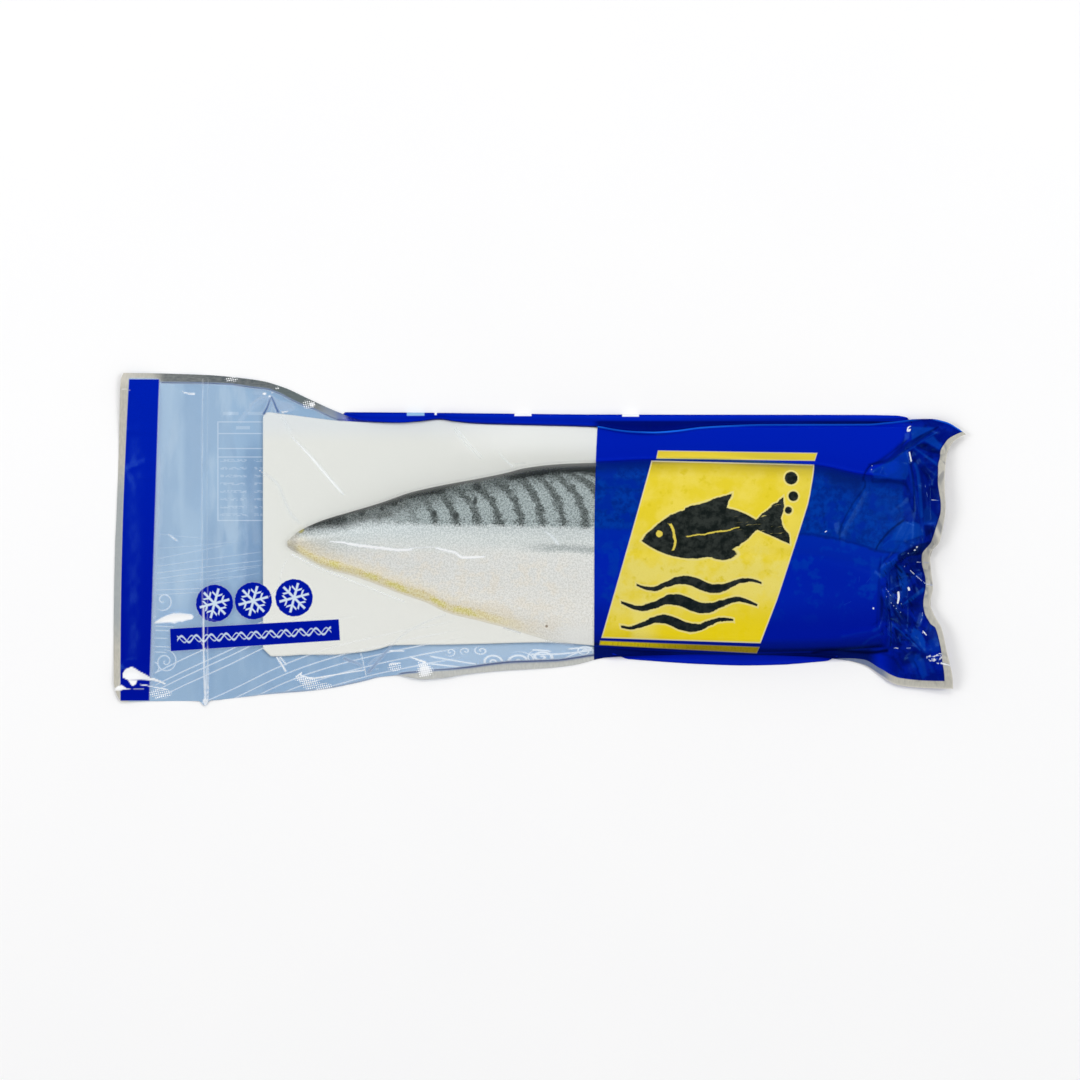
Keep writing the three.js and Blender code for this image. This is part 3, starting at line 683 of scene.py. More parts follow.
board_d = board_inside(GX, GY)
contents = np.where(board_d > 0, BOARD_TOP - 0.28 * np.exp(-np.clip(board_d, 0, None) / 0.5), 0.0)
fish_z = fish_height(GX, GY)
contents = np.where(fish_z > 0, BOARD_TOP + 0.05 + fish_z, contents)
covered = spread(contents, 1.0)
collar = 3.4 * hump(GX, 902, 15) * hump(GY, 560, 13)      # what is left of the collar at the cut
collar = np.clip(collar - 0.5, 0, None)

inset = np.minimum(GY - back_tip(GX), front_tip(GX) - GY)
seam_off = np.minimum(inset, np.minimum(GX - 113, 60))
rims = lift(GX, GY)
flap = rims + 0.35 + 1.15 * ease(seam_off, 6, 34) * on_flap + 1.2 * (1 - on_flap) * ease(inset, 2, 14)
draped = blurred(covered, 0.9) + 0.1
draped = np.maximum(draped, covered + 0.06)
# past the cut end the film slopes down to the seal
slope = 10.5 - 0.34 * np.clip(GX - fish_head((GY - fish_back(GX)) / (fish_belly(GX) - fish_back(GX))), 0, None)
slope = slope * ease(GY, 452, 486) * (1 - ease(GY, 636, 656)) * ease(GX, 872, 892)
draped = np.maximum(draped, blurred(np.clip(slope, 0, None), 1.5) * 0.72)
FILM = np.maximum(flap, draped)
FILM = blurred(FILM, 0.5)
over_fish = ease(fish_z, 0.3, 3.0)
calm = np.where(GX > 262, lerp(0.3, 0.3, over_fish), 1.0)
FILM = FILM + collar * ease(GX, 880, 892) + waves * calm * ease(inset, 0, 6) + bands
FILM = FILM + (WRINKLES + crumple) * ease(inset, -1, 5)
FILM = np.maximum(FILM, np.maximum(covered + 0.06, rims * 0.8 + 0.2))
folded = WRINKLES + crumple
# ridges and hollows of the folds, used to paint light on the ridges and shade in the creases
CAVITY = np.clip((folded - blurred(folded, 3.2)) / 0.6, -1, 1)

# The seam stands on edge along the back, and along the belly side of the head end.
stand_back = ease(GX, 338, 356) * (1 - ease(GX, 905, 930))
stand_front = ease(GX, 600, 615) * (1 - ease(GX, 830, 850))
seam_width = through((340, 2.0), (597, 2.6), (632, 3.4), (660, 3.6), (702, 2.8), (761, 2.4), (880, 2.0), (930, 1.8))
back_ramp = np.clip(1 - (GY - back_tip(GX)) / seam_width(GX), 0, 1)
front_ramp = np.clip(1 - (front_tip(GX) - GY) / 2.6, 0, 1)
FILM = FILM + 1.9 * stand_back * back_ramp + 1.6 * stand_front * front_ramp
FILM = np.clip(blurred(FILM, 0.35), 0.12, None)


def sample(field, x, y):
    u = np.clip((np.asarray(x) - RX0) / STEP, 0, field.shape[1] - 1.001)
    v = np.clip((np.asarray(y) - RY0) / STEP, 0, field.shape[0] - 1.001)
    iu, iv = u.astype(int), v.astype(int)
    fu, fv = u - iu, v - iv
    return lerp(
        lerp(field[iv, iu], field[iv, iu + 1], fu),
        lerp(field[iv + 1, iu], field[iv + 1, iu + 1], fu),
        fv,
    )


# dark blotches on the back and near the tail
for x0, x1, y0, y1, strength in (
    (390, 398, 499, 506, 0.9), (404, 418, 492, 498, 0.9), (432, 447, 486, 494, 0.9), (473, 481, 481, 491, 1.0), (474, 476.5, 495, 506, 0.8),
    (432, 437, 509, 518, 0.7), (452, 460, 511, 520, 0.7), (325, 335, 516.5, 521, 1.0), (333, 349, 517, 521, 0.9), (332, 334, 525.5, 528.5, 0.9),
    (338, 343, 523.5, 526.5, 0.8), (357, 366, 508, 516, 0.8), (380, 384, 505, 510, 0.8), (318, 362, 518, 528, 0.58), (362, 392, 510, 526, 0.36),
    (302, 324, 519, 526, 0.8),
):
    patch(BLOTS, (x0 + x1) / 2, (y0 + y1) / 2, (x1 - x0) / 2 + 2.2, (y1 - y0) / 2 + 2.2, strength)


# ---------------------------------------------------------------- meshes
def to_world(x, y, z):
    return np.stack([(x - PX) * K, (PY - y) * K, z], -1).reshape(-1, 3) * 0.001


def mesh_piece(name, verts, quads, attributes=None, smooth=True, slots=None, material_index=None):
    mesh = bpy.data.meshes.new(name)
    verts = np.asarray(verts, np.float32)
    quads = np.asarray(quads, np.int32)
    mesh.vertices.add(len(verts))
    mesh.vertices.foreach_set("co", verts.ravel())
    mesh.loops.add(quads.size)
    mesh.loops.foreach_set("vertex_index", quads.ravel())
    mesh.polygons.add(len(quads))
    mesh.polygons.foreach_set("loop_start", np.arange(0, quads.size, 4, dtype=np.int32))
    mesh.polygons.foreach_set("loop_total", np.full(len(quads), 4, np.int32))
    mesh.polygons.foreach_set("use_smooth", np.full(len(quads), smooth))
    for m in slots or ():
        mesh.materials.append(m)
    if material_index is not None:
        mesh.polygons.foreach_set("material_index", np.asarray(material_index, np.int32))
    for key, values in (attributes or {}).items():
        layer = mesh.attributes.new(key, "FLOAT", "POINT")
        layer.data.foreach_set("value", np.asarray(values, np.float32).ravel())
    mesh.update(calc_edges=True)
    mesh.validate()
    obj = bpy.data.objects.new(name, mesh)
    bpy.context.scene.collection.objects.link(obj)
    return obj


def grid_quads(rows, columns, start=0, flip=False):
    """Quads of a grid of rows by columns of vertices."""
    r, c = np.meshgrid(np.arange(rows - 1), np.arange(columns - 1), indexing="ij")
    a = start + r * columns + c
    q = np.stack([a, a + 1, a + columns + 1, a + columns], -1).reshape(-1, 4)
    return q[:, ::-1] if flip else q


def spaced(n, crowd=0.0, reach=0.03):
    """n + 1 shares from 0 to 1, closer together near both ends."""
    fine = np.linspace(0, 1, 4001)
    density = 1 + crowd * (np.exp(-fine / reach) + np.exp(-(1 - fine) / reach))
    total = np.concatenate([[0], np.cumsum((density[1:] + density[:-1]) / 2)])
    return np.interp(np.linspace(0, total[-1], n + 1), total, fine)


def share_of(x, y):
    """Share of the way from the belly edge to the back edge."""
    return np.clip((front_tip(x) - y) / (front_tip(x) - back_tip(x)), 0, 1)


# Width of the unprinted rim along the free end, and along the foot beside it.
end_width = through(
    (418, 1.5), (424, 2), (430, 3), (434.7, 4), (438.4, 5), (443, 5.5), (450, 6.6), (457, 6.1), (463.5, 7), (474, 6.5), (483, 6.4),
    (492, 5.6), (501.5, 4.7), (511, 4.6), (520, 5.6), (534, 7.4), (562, 8.4), (576, 6.6), (590, 7.4), (602, 6.6), (607, 7.2),
    (615.5, 8.5), (623, 9), (627, 6), (634, 5.5), (646.7, 5.2), (661.8, 7), (690, 8.5),
)
foot_width = through((832, 0.05), (845, 2.0), (855, 4.0), (868, 6.2), (877, 6.6), (885, 7.4), (960, 7.5))


def film_part(name, s0, s1, columns, rows, material, crowd=(0.5, 0.5)):
    """Part of the front film. s0 and s1 give, for each row, where it starts and ends along the pouch."""
    t = spaced(rows, 1.6, 0.02)[:, None]
    k = np.interp(np.linspace(0, 1, columns + 1), [0, crowd[0], 1], [0, crowd[1], 1])[None, :]
    x = lerp(s0(t), s1(t), k)
    y = lerp(front_tip(x), back_tip(x), t)
    z = sample(FILM, x, y)
    end_scale = 7.7 / end_width(y)
    foot_scale = 7.1 / foot_width(x)
    return mesh_piece(
        name, to_world(x, y, z), grid_quads(rows + 1, columns + 1),
        {
            "whitening_and_glint": sample(WHITENING_AND_GLINT, x, y), "shaded": sample(SHADED, x, y), "cavity": sample(CAVITY, x, y), "lit": sample(LIT, x, y),
            "frosty": sample(FROST, x, y),
            "from_end": (head_edge(t) - x) * end_scale, "from_foot": np.clip((front_tip(x) - y) * foot_scale, 0, 99),
        },
        slots=[material],
    )


def back_film(name, columns, material):
    """The film underneath, which comes up round the board and out past the standing seam."""
    k = np.linspace(0, 1, columns + 1)

    def along(place):
        """A row of points: place gives y for x, and the ends follow the short edges at that y."""
        x = lerp(tail_edge(0.5), head_edge(0.5), k)
        for _ in range(4):
            t = share_of(x, place(x))
            x = lerp(tail_edge(t), head_edge(t), k)
        return x, place(x)

    def side(tip, out, inward):
        steps = []
        drops = (0.05, 1.5, 1.75, 1.5, 0.95, 0.8, 1.1, 1.7, 2.5, 3.1, 3.4)
        shares = (0.0, 0.1, 0.22, 0.38, 0.56, 0.74, 0.88, 0.97, 1.0, 0.93, 0.7)
        for n, (share, drop) in enumerate(zip(shares, drops)):
            def place(x, n=n, share=share):
                roll = np.abs(out(x) - tip(x))
                return lerp(tip(x) + inward * 0.8 * n, tip(x) - inward * roll * share, ease(roll, 0.2, 3.0))
            x, y = along(place)
            w = ease(np.abs(out(x) - tip(x)), 0.2, 3.0)
            z_tip = sample(FILM, x, tip(x)) - 0.05
            z_roll = np.maximum(z_tip - drop, FLOOR_GAP + 0.02 * (len(drops) - n))
            z_flat = lerp(z_tip, lift(x, y) + FLOOR_GAP + 0.1, n / (len(drops) - 1.0))
            z_flat = np.minimum(z_flat, sample(FILM, x, y) - 0.07)
            steps.append((x, y, lerp(z_flat, z_roll, w)))
        return steps

    top = side(back_tip, back_out, 1.0)
    low = side(front_tip, front_out, -1.0)
    top_y = lambda x: lerp(back_tip(x) + 8.0, back_tip(x) - np.abs(back_out(x) - back_tip(x)) * 0.7, ease(np.abs(back_out(x) - back_tip(x)), 0.2, 3.0))
    low_y = lambda x: lerp(front_tip(x) - 8.0, front_tip(x) + np.abs(front_out(x) - front_tip(x)) * 0.7, ease(np.abs(front_out(x) - front_tip(x)), 0.2, 3.0))
    middle = []
    for t in np.linspace(0, 1, 32)[1:-1]:
        x, y = along(lambda v: lerp(top_y(v), low_y(v), t))
        z = lift(x, y) + FLOOR_GAP + 0.02 + 0.02 * value_noise(x, y, 20, 31)
        share = share_of(x, y)
        ends = np.minimum(x - tail_edge(share), head_edge(share) - x)
        near_film = sample(FILM, x, y) - 0.09
        z = np.where(ends < 7, lerp(near_film, z, ease(ends, 0.5, 7)), z)
        middle.append((x, y, np.minimum(z, near_film)))
    rows = top + middle + low[::-1]
    x = np.stack([r[0] for r in rows])
    y = np.stack([r[1] for r in rows])
    z = np.stack([r[2] for r in rows])
    share = share_of(x, y)
    rim = np.minimum(x - tail_edge(share), head_edge(share) - x)
    return mesh_piece(
        name, to_world(x, y, z), grid_quads(len(rows), columns + 1, flip=True), {"rim": rim}, slots=[material],
    )


def board_piece(name, material):
    """A white card with eased edges, one cut corner and one round one."""
    columns, rows = 200, 64
    xs = lerp(BOARD_LEFT, BOARD_RIGHT, spaced(columns, 4.0, 0.01))[None, :]
    t = spaced(rows, 4.0, 0.02)[:, None]
    x = np.broadcast_to(xs, (rows + 1, columns + 1))
    top, low = board_back(xs), board_front(xs)
    corner = 7 - np.sqrt(np.clip(49 - np.clip(7 - (xs - BOARD_LEFT), 0, 7) ** 2, 0, None))
    top = top + corner
    low = low - np.clip(8 - (xs - BOARD_LEFT), 0, 8)
    y = lerp(low, top, t)
    d = np.minimum(np.minimum(x - BOARD_LEFT, BOARD_RIGHT - x), np.minimum(y - top, low - y))
    round_off = 0.28 * (1 - dome(np.clip(d, 0, None), 1.0))
    up = BOARD_TOP - round_off
    down = np.full_like(up, BOARD_UNDER) + round_off * 0.6
    n = (rows + 1) * (columns + 1)
    verts = np.concatenate([to_world(x, y, up), to_world(x, y, down)])
    quads = [grid_quads(rows + 1, columns + 1), grid_quads(rows + 1, columns + 1, n, flip=True)]
    c = columns + 1
    edge = np.concatenate([
        np.arange(0, c), np.arange(1, rows + 1) * c + columns,
        rows * c + np.arange(columns - 1, -1, -1), np.arange(rows - 1, 0, -1) * c,
    ])
    nxt = np.roll(edge, -1)
    quads.append(np.stack([edge + n, nxt + n, nxt, edge], -1))
    return mesh_piece(name, verts, np.concatenate(quads), slots=[material])


def fillet_piece(name, skin, flesh):
    columns, rows = 470, 100
    s = spaced(columns, 2.0, 0.006)[None, :]
    v = spaced(rows, 2.2, 0.03)[:, None]           # 0 at the back, 1 at the belly
    x = TAIL + 0.05 + (fish_head(v) - TAIL - 0.1) * s
    back, belly = fish_back(x), fish_belly(x)
    y = lerp(back, belly, v)
    z = BOARD_TOP + 0.05 + np.clip(fish_height(x, lerp(back + 0.02, belly - 0.02, v)), 0.02, None)
    under = np.full_like(z, BOARD_TOP + 0.02)
    n = (rows + 1) * (columns + 1)
    c = columns + 1
    verts = np.concatenate([to_world(x, y, z), to_world(x, y, under)])
    top = grid_quads(rows + 1, c, flip=True)
    low = grid_quads(rows + 1, c, n)
    edge = np.concatenate([
        np.arange(0, c), np.arange(1, rows + 1) * c + columns,
        rows * c + np.arange(columns - 1, -1, -1), np.arange(rows - 1, 0, -1) * c,
    ])
    nxt = np.roll(edge, -1)
    wall = np.stack([edge, nxt, nxt + n, edge + n], -1)
    cut_end = np.zeros(len(wall))
    cut_end[columns : columns + rows] = 1.0
    index = np.concatenate([np.zeros(len(top)), np.ones(len(low)), cut_end])
    belt = y - fish_belt(x)
    from_back = y - back
    both = lambda f: np.concatenate([np.broadcast_to(f, x.shape).ravel()] * 2)
    return mesh_piece(
        name, verts, np.concatenate([top, low, wall]),
        {"belt": both(belt), "from_back": both(from_back), "to_belly": both(belly - y), "ridge": both(fish_ridge(x)), "blot": both(sample(BLOTS, x, y))},
        slots=[skin, flesh], material_index=index,
    )


# ---------------------------------------------------------------- shader arithmetic
def linear(r, g, b):
    """sRGB 0 to 255 to linear."""
    out = []
    for c in (r, g, b):
        c = c / 255.0
        out.append(c / 12.92 if c <= 0.04045 else ((c + 0.055) / 1.055) ** 2.4)
    return (*out, 1.0)


class Tree:
    """One material's nodes, with arithmetic written as plain expressions."""

    def __init__(self, name):
        self.mat = bpy.data.materials.new(name)
        self.mat.use_nodes = True
        self.nt = self.mat.node_tree
        self.nt.nodes.clear()
        self.out = self.nt.nodes.new("ShaderNodeOutputMaterial")
        coord = self.nt.nodes.new("ShaderNodeTexCoord")
        split = self.nt.nodes.new("ShaderNodeSeparateXYZ")
        self.nt.links.new(coord.outputs["Object"], split.inputs[0])
        self.object = coord.outputs["Object"]
        self.x = Val(self, split.outputs[0]) * (1000.0 / K) + PX
        self.y = PY - Val(self, split.outputs[1]) * (1000.0 / K)
        self.z = Val(self, split.outputs[2]) * 1000.0

    def link(self, value, socket):
        if isinstance(value, Val):
            self.nt.links.new(value.s, socket)
        elif hasattr(value, "node"):
            self.nt.links.new(value, socket)
        else:
            socket.default_value = value

    def op(self, name, *args):
        n = self.nt.nodes.new("ShaderNodeMath")
        n.operation = name
        for i, a in enumerate(args):
            self.link(a if isinstance(a, Val) else float(a), n.inputs[i])
        return Val(self, n.outputs[0])

    def smooth(self, a, b, v):
        """0 below a, 1 above b."""
        n = self.nt.nodes.new("ShaderNodeMapRange")
        n.interpolation_type = "SMOOTHSTEP"
        self.link(v, n.inputs[0])
        n.inputs[1].default_value, n.inputs[2].default_value = (a, b) if a < b else (b, a)
        n.inputs[3].default_value, n.inputs[4].default_value = (0.0, 1.0) if a < b else (1.0, 0.0)
        return Val(self, n.outputs[0])

    def attribute(self, name):
        n = self.nt.nodes.new("ShaderNodeAttribute")
        n.attribute_name = name
        return Val(self, n.outputs["Fac"])

    def vector(self, x, y, z=0.0):
        n = self.nt.nodes.new("ShaderNodeCombineXYZ")
        for i, a in enumerate((x, y, z)):
            self.link(a if isinstance(a, Val) else float(a), n.inputs[i])
        return n.outputs[0]

    def noise(self, vec, scale=1.0, detail=3.0, rough=0.55, warp=0.0):
        n = self.nt.nodes.new("ShaderNodeTexNoise")
        self.nt.links.new(vec, n.inputs["Vector"])
        n.inputs["Scale"].default_value = scale
        n.inputs["Detail"].default_value = detail
        n.inputs["Roughness"].default_value = rough
        n.inputs["Distortion"].default_value = warp
        return Val(self, n.outputs["Fac"])

    def cells(self, vec, scale=1.0, feature="F1"):
        n = self.nt.nodes.new("ShaderNodeTexVoronoi")
        n.feature = feature
        self.nt.links.new(vec, n.inputs["Vector"])
        n.inputs["Scale"].default_value = scale
        return Val(self, n.outputs["Distance"])

    def mix(self, fac, a, b):
        n = self.nt.nodes.new("ShaderNodeMix")
        n.data_type = "RGBA"
        self.link(fac, n.inputs[0])
        self.link(a, n.inputs[6])
        self.link(b, n.inputs[7])
        return n.outputs[2]

    def shade(self, fac, a, b):
        n = self.nt.nodes.new("ShaderNodeMixShader")
        self.link(fac, n.inputs[0])
        self.nt.links.new(a, n.inputs[1])
        self.nt.links.new(b, n.inputs[2])
        return n.outputs[0]

    def bump(self, height, strength, distance, normal=None):
        n = self.nt.nodes.new("ShaderNodeBump")
        n.inputs["Strength"].default_value = strength
        n.inputs["Distance"].default_value = distance
        self.link(height, n.inputs["Height"])
        if normal is not None:
            self.nt.links.new(normal, n.inputs["Normal"])
        return n.outputs["Normal"]

    # shapes in plan: all give a signed distance, negative inside
    def disc(self, cx, cy, r):
        dx, dy = self.x - cx, self.y - cy
        return (dx * dx + dy * dy).root() - r

    def slab(self, x0, y0, x1, y1):
        """Signed distance from the line through two points: negative to its right, seen from the first."""
        length = float(np.hypot(x1 - x0, y1 - y0))
        return ((self.x - x0) * ((y1 - y0) / length)) - ((self.y - y0) * ((x1 - x0) / length))

    def convex(self, *corners):
        """Signed distance, near its edge, of a convex shape with corners in plan, clockwise as seen."""
        worst = None
        for (x0, y0), (x1, y1) in zip(corners, corners[1:] + corners[:1]):
            d = self.slab(x0, y0, x1, y1)
            worst = d if worst is None else worst.at_least(d)
        return worst

    def curve(self, a, b, c=0.0, d=0.0, x0=0.0):
        """y minus a cubic in x."""
        u = self.x - x0
        line = u * b + a
        if c:
            line = line + u * u * c
        if d:
            line = line + u * u * u * d
        return self.y - line

    def inside(self, d, soft=0.5):
        return self.smooth(soft, -soft, d)

    def stroke(self, d, half, soft=0.45):
        return self.smooth(half + soft, half - soft, d.abs())


class Val:
    def __init__(self, tree, socket):
        self.t, self.s = tree, socket

    def __add__(self, o):
        return self.t.op("ADD", self, o)

    __radd__ = __add__

    def __sub__(self, o):
        return self.t.op("SUBTRACT", self, o)

    def __rsub__(self, o):
        return self.t.op("SUBTRACT", o, self)

    def __mul__(self, o):
        return self.t.op("MULTIPLY", self, o)

    __rmul__ = __mul__

    def __truediv__(self, o):
        return self.t.op("DIVIDE", self, o)

    def __neg__(self):
        return self.t.op("MULTIPLY", self, -1.0)

    def abs(self):
        return self.t.op("ABSOLUTE", self)

    def root(self):
        return self.t.op("SQRT", self)

    def sin(self):
        return self.t.op("SINE", self)

    def cos(self):
        return self.t.op("COSINE", self)

    def power(self, e):
        return self.t.op("POWER", self, e)

    def at_least(self, o):
        return self.t.op("MAXIMUM", self, o)

    def at_most(self, o):
        return self.t.op("MINIMUM", self, o)

    def rest(self):
        """How far from the nearest whole number."""
        return self.t.op("PINGPONG", self + 0.5, 0.5) * -1.0 + 0.5

    def clamp(self):
        n = self.t.nt.nodes.new("ShaderNodeClamp")
        self.t.nt.links.new(self.s, n.inputs[0])
        return Val(self.t, n.outputs[0])


def principled(t, color, rough, **more):
    n = t.nt.nodes.new("ShaderNodeBsdfPrincipled")
    t.link(color, n.inputs["Base Color"])
    t.link(rough, n.inputs["Roughness"])
    for key, value in more.items():
        t.link(value, n.inputs[key.replace("_", " ")])
    return n.outputs[0]


# ---------------------------------------------------------------- materials
def inner(r, g, b):
    """A colour that is seen through the clear film."""
    c = linear(r, g, b)
    return (*[min(v * 1.1, 0.96) for v in c[:3]], 1.0)


BLUE_SHEEN = (0.15, 0.5, 1.0, 1.0)


def film_fresnel(t, normal, share):
    """How much the film mirrors, the same from either face."""
    geometry = t.nt.nodes.new("ShaderNodeNewGeometry")
    ior = Val(t, geometry.outputs["Backfacing"]) * (1.0 / 1.47 - 1.47) + 1.47
    fresnel = t.nt.nodes.new("ShaderNodeFresnel")
    t.link(ior, fresnel.inputs["IOR"])
    t.nt.links.new(normal, fresnel.inputs["Normal"])
    return Val(t, fresnel.outputs[0]) * share


def skin_material():
    t = Tree("mackerel_skin")
    belt, from_back, to_belly, ridge_in, blot = (t.attribute(k) for k in ("belt", "from_back", "to_belly", "ridge", "blot"))
    flat = t.vector(t.x, t.y)
    speck = t.noise(flat, 0.8, 1.0, 0.8)
    grit = t.noise(flat, 0.46, 2.0, 0.7)
    mottle = t.noise(flat, 0.16, 4.0, 0.6)
    blotch = t.noise(flat, 0.07, 3.0, 0.55)
    wander = t.noise(flat, 0.05, 2.0, 0.5)
    grain = (speck - 0.5) * 3.0 + (grit - 0.5) * 2.8
    rough = (grit - 0.5) * 6.0 + (speck - 0.5) * 5.0

    def tone(dark, light):
        return t.mix((grain + 0.5).clamp(), inner(*dark), inner(*light))

    # bars: upright at the belt, bending back towards the tail higher up
    up = (belt * -1.0).at_least(0.0).at_most(60.0)
    high = (up - 38.0).at_least(0.0)
    phase = (t.x + up * up * (t.smooth(530, 460, t.x) * 0.0075 + 0.0088) + high * high * 0.04 * t.smooth(520, 560, t.x) + (wander - 0.5) * 7.0 + (mottle - 0.5) * 12.0 - 456.6) / 21.3
    gap = phase.rest() * 21.3
    body = t.smooth(392, 440, t.x + (mottle - 0.5) * 30.0)
    half = 3.2 + up * 0.03
    bar = t.smooth(2.4, -1.8, gap - half + rough * 0.6) * body
    bar = bar * (t.smooth(0.3, 0.46, t.noise(flat, 0.11, 2.0, 0.6) + (grit - 0.5) * 0.25) * 0.5 + 0.5)
    # the tail end has blotches in place of bars
    patches = t.noise(t.vector(t.x * 0.75 + t.y * 0.3, t.y * 0.8), 0.13, 4.0, 0.62)
    spots = t.smooth(0.5, 0.6, patches + (grit - 0.5) * 0.5 + (16.0 - from_back).at_least(-8.0) * 0.009)
    spots = spots * (1.0 - body) * 0.8
    ridge = t.smooth(2.4, -2.0, from_back - ridge_in + (mottle - 0.5) * 5.0 + rough * 0.5)
    knots = t.smooth(7.5, 1.5, (belt + 5.0).abs() * 0.8 + gap * 0.7 + rough) * body * 0.9
    back = t.mix(bar.at_least(knots) * 0.95, tone((118, 128, 127), (176, 187, 187)), tone((40, 48, 46), (106, 114, 112)))
    smoke = t.smooth(27, 6, from_back + (mottle - 0.5) * 18.0 + rough)
    back = t.mix(smoke * 0.84, back, tone((44, 52, 50), (106, 114, 112)))
    haze = t.smooth(425, 350, t.x) * t.smooth(3, 18, from_back)
    back = t.mix(haze * 0.55, back, tone((128, 134, 134), (182, 187, 186)))
    back = t.mix(spots, back, tone((48, 55, 53), (116, 122, 119)))
    back = t.mix(t.smooth(0.3, 0.72, blot + rough * 0.09) * 0.9, back, tone((14, 19, 18), (70, 77, 75)))
    # the nearly black edge of the back: dark skin, with painted shade where the back drops steeply
    back = t.mix(ridge, back, tone((2, 6, 5), (38, 45, 43)))
    blots = t.smooth(0.58, 0.66, t.noise(flat, 0.24, 2.0, 0.6) + (grit - 0.5) * 0.2) * t.smooth(345, 325, t.x) * t.smooth(12, 4, from_back)
    blots = blots.at_least(t.smooth(0.62, 0.68, t.noise(flat, 0.28, 1.0, 0.5)) * t.smooth(380, 330, t.x) * t.smooth(13, 8, from_back) * 0.8)
    back = t.mix(blots, back, inner(24, 30, 28))
    # flank: bluish grey under the belt, then silver, then cream towards the belly
    low = belt + (mottle - 0.5) * 7.0 + rough * 0.4
    flank = t.mix(t.smooth(0, 15, low), inner(180, 190, 191), inner(205, 212, 210))
    flank = t.mix(t.smooth(12, 34, low), flank, inner(223, 223, 218))
    flank = t.mix(t.smooth(34, 84, low) * 0.8, flank, inner(231, 228, 220))
    lateral = t.smooth(6.5, 0.5, (belt - 21.5 - (wander - 0.5) * 5.0).abs() + rough * 0.7) * t.smooth(510, 556, t.x)
    flank = t.mix(lateral * 0.97, flank, inner(148, 158, 158))
    under = t.smooth(0.46, 0.62, t.noise(t.vector(t.x * 0.5, t.y), 0.12, 3.0, 0.6)) * t.smooth(26, 8, belt) * t.smooth(430, 520, t.x)
    flank = t.mix(under * 0.4, flank, inner(176, 186, 188))
    cool = t.smooth(22, 4, belt) * t.smooth(300, 340, t.x) * t.smooth(470, 400, t.x)
    flank = t.mix(cool * 0.6, flank, inner(194, 206, 209))
    warm = t.smooth(0.44, 0.62, blotch + (grit - 0.5) * 0.25) * t.smooth(20, 44, belt) * t.smooth(600, 540, t.x)
    flank = t.mix(warm * 0.55, flank, inner(232, 221, 201))
    tail_tint = t.smooth(360, 300, t.x) * t.smooth(0, 14, belt)
    flank = t.mix(tail_tint * 0.75, flank, t.mix(mottle, inner(180, 177, 163), inner(204, 198, 182)))
    flank = t.mix(t.smooth(0.3, 0.85, grain + 0.5) * 0.45, flank, inner(240, 241, 237))
    flank = t.mix(t.smooth(0.7, 0.1, grain + 0.5) * 0.34, flank, inner(182, 183, 176))
    streak = t.smooth(0.56, 0.7, t.noise(t.vector(t.x * 0.16, t.y - t.x * 0.14), 0.55, 3.0, 0.6)) * t.smooth(60, 25, to_belly) * t.smooth(330, 380, t.x)
    flank = t.mix(streak * 0.4, flank, inner(240, 233, 216))
    # the thin belly: a speckled yellow band just inside a pale edge
    cream = t.smooth(26, 6, to_belly + (mottle - 0.5) * 16.0) * t.smooth(570, 480, t.x)
    flank = t.mix(cream * 0.7, flank, tone((222, 208, 176), (240, 229, 203)))
    line = 6.0 + (blotch - 0.5) * 7.0 + t.smooth(340, 300, t.x) * -1.5
    fat = t.smooth(6.4, 1.6, (to_belly - line).abs() + rough * 0.9) * t.smooth(540, 470, t.x) * (t.smooth(0.36, 0.56, t.noise(flat, 0.12, 3.0, 0.6)) * 0.4 + 0.6)
    flank = t.mix(fat * 0.85, flank, tone((214, 194, 124), (246, 233, 186)))
    spans = None                                   # where the band is olive
    for cx, reach in ((334.0, 5.0), (371.0, 7.5), (397.0, 11.0), (438.0, 8.0), (464.0, 12.0)):
        d = (t.x - cx).abs() / reach
        spans = d if spans is None else spans.at_most(d)
    olive = t.smooth(4.2, 0.8, (to_belly - line).abs() + rough * 0.6) * t.smooth(1.15, 0.6, spans + (mottle - 0.5) * 1.2 + (grit - 0.5) * 0.6)
    flank = t.mix(olive * 0.6, flank, tone((206, 195, 76), (232, 224, 142)))
    hem = t.smooth(2.8, 0.8, to_belly)
    flank = t.mix(hem * 0.8, flank, t.mix(t.smooth(500, 560, t.x), inner(236, 229, 210), inner(228, 227, 219)))
    flank = t.mix(t.smooth(548, 575, t.x) * t.smooth(26, 10, to_belly) * 0.7, flank, inner(234, 234, 229))
    side = t.smooth(-2.6, 2.6, (belt + rough + (mottle - 0.5) * 6.0) * (1.0 - t.smooth(430, 370, t.x) * 0.6))
    color = t.mix(side, back, flank)
    tip = t.smooth(301, 293, t.x)
    color = t.mix(tip * 0.7, color, tone((158, 154, 144), (206, 202, 194)))
    spot = ((t.x - 300.5) * (t.x - 300.5) + (t.y - 529.5) * (t.y - 529.5)).root()
    color = t.mix(t.smooth(4.5, 1.5, spot + rough * 0.4) * 0.9, color, inner(166, 156, 66))
    dot = ((t.x - 546.0) * (t.x - 546.0) + (t.y - 625.5) * (t.y - 625.5)).root()
    color = t.mix(t.smooth(1.8, 0.8, dot + rough * 0.1) * 0.8, color, inner(120, 98, 70))
    skin = principled(
        t, color, (0.46 - side * 0.1 + (grit - 0.5) * 0.2),
        Normal=t.bump(speck * 0.4 + grit * 0.8 + mottle * 1.2, 0.4, 0.00016),
        Specular_IOR_Level=0.3,
    )
    t.nt.links.new(skin, t.out.inputs[0])
    return t.mat


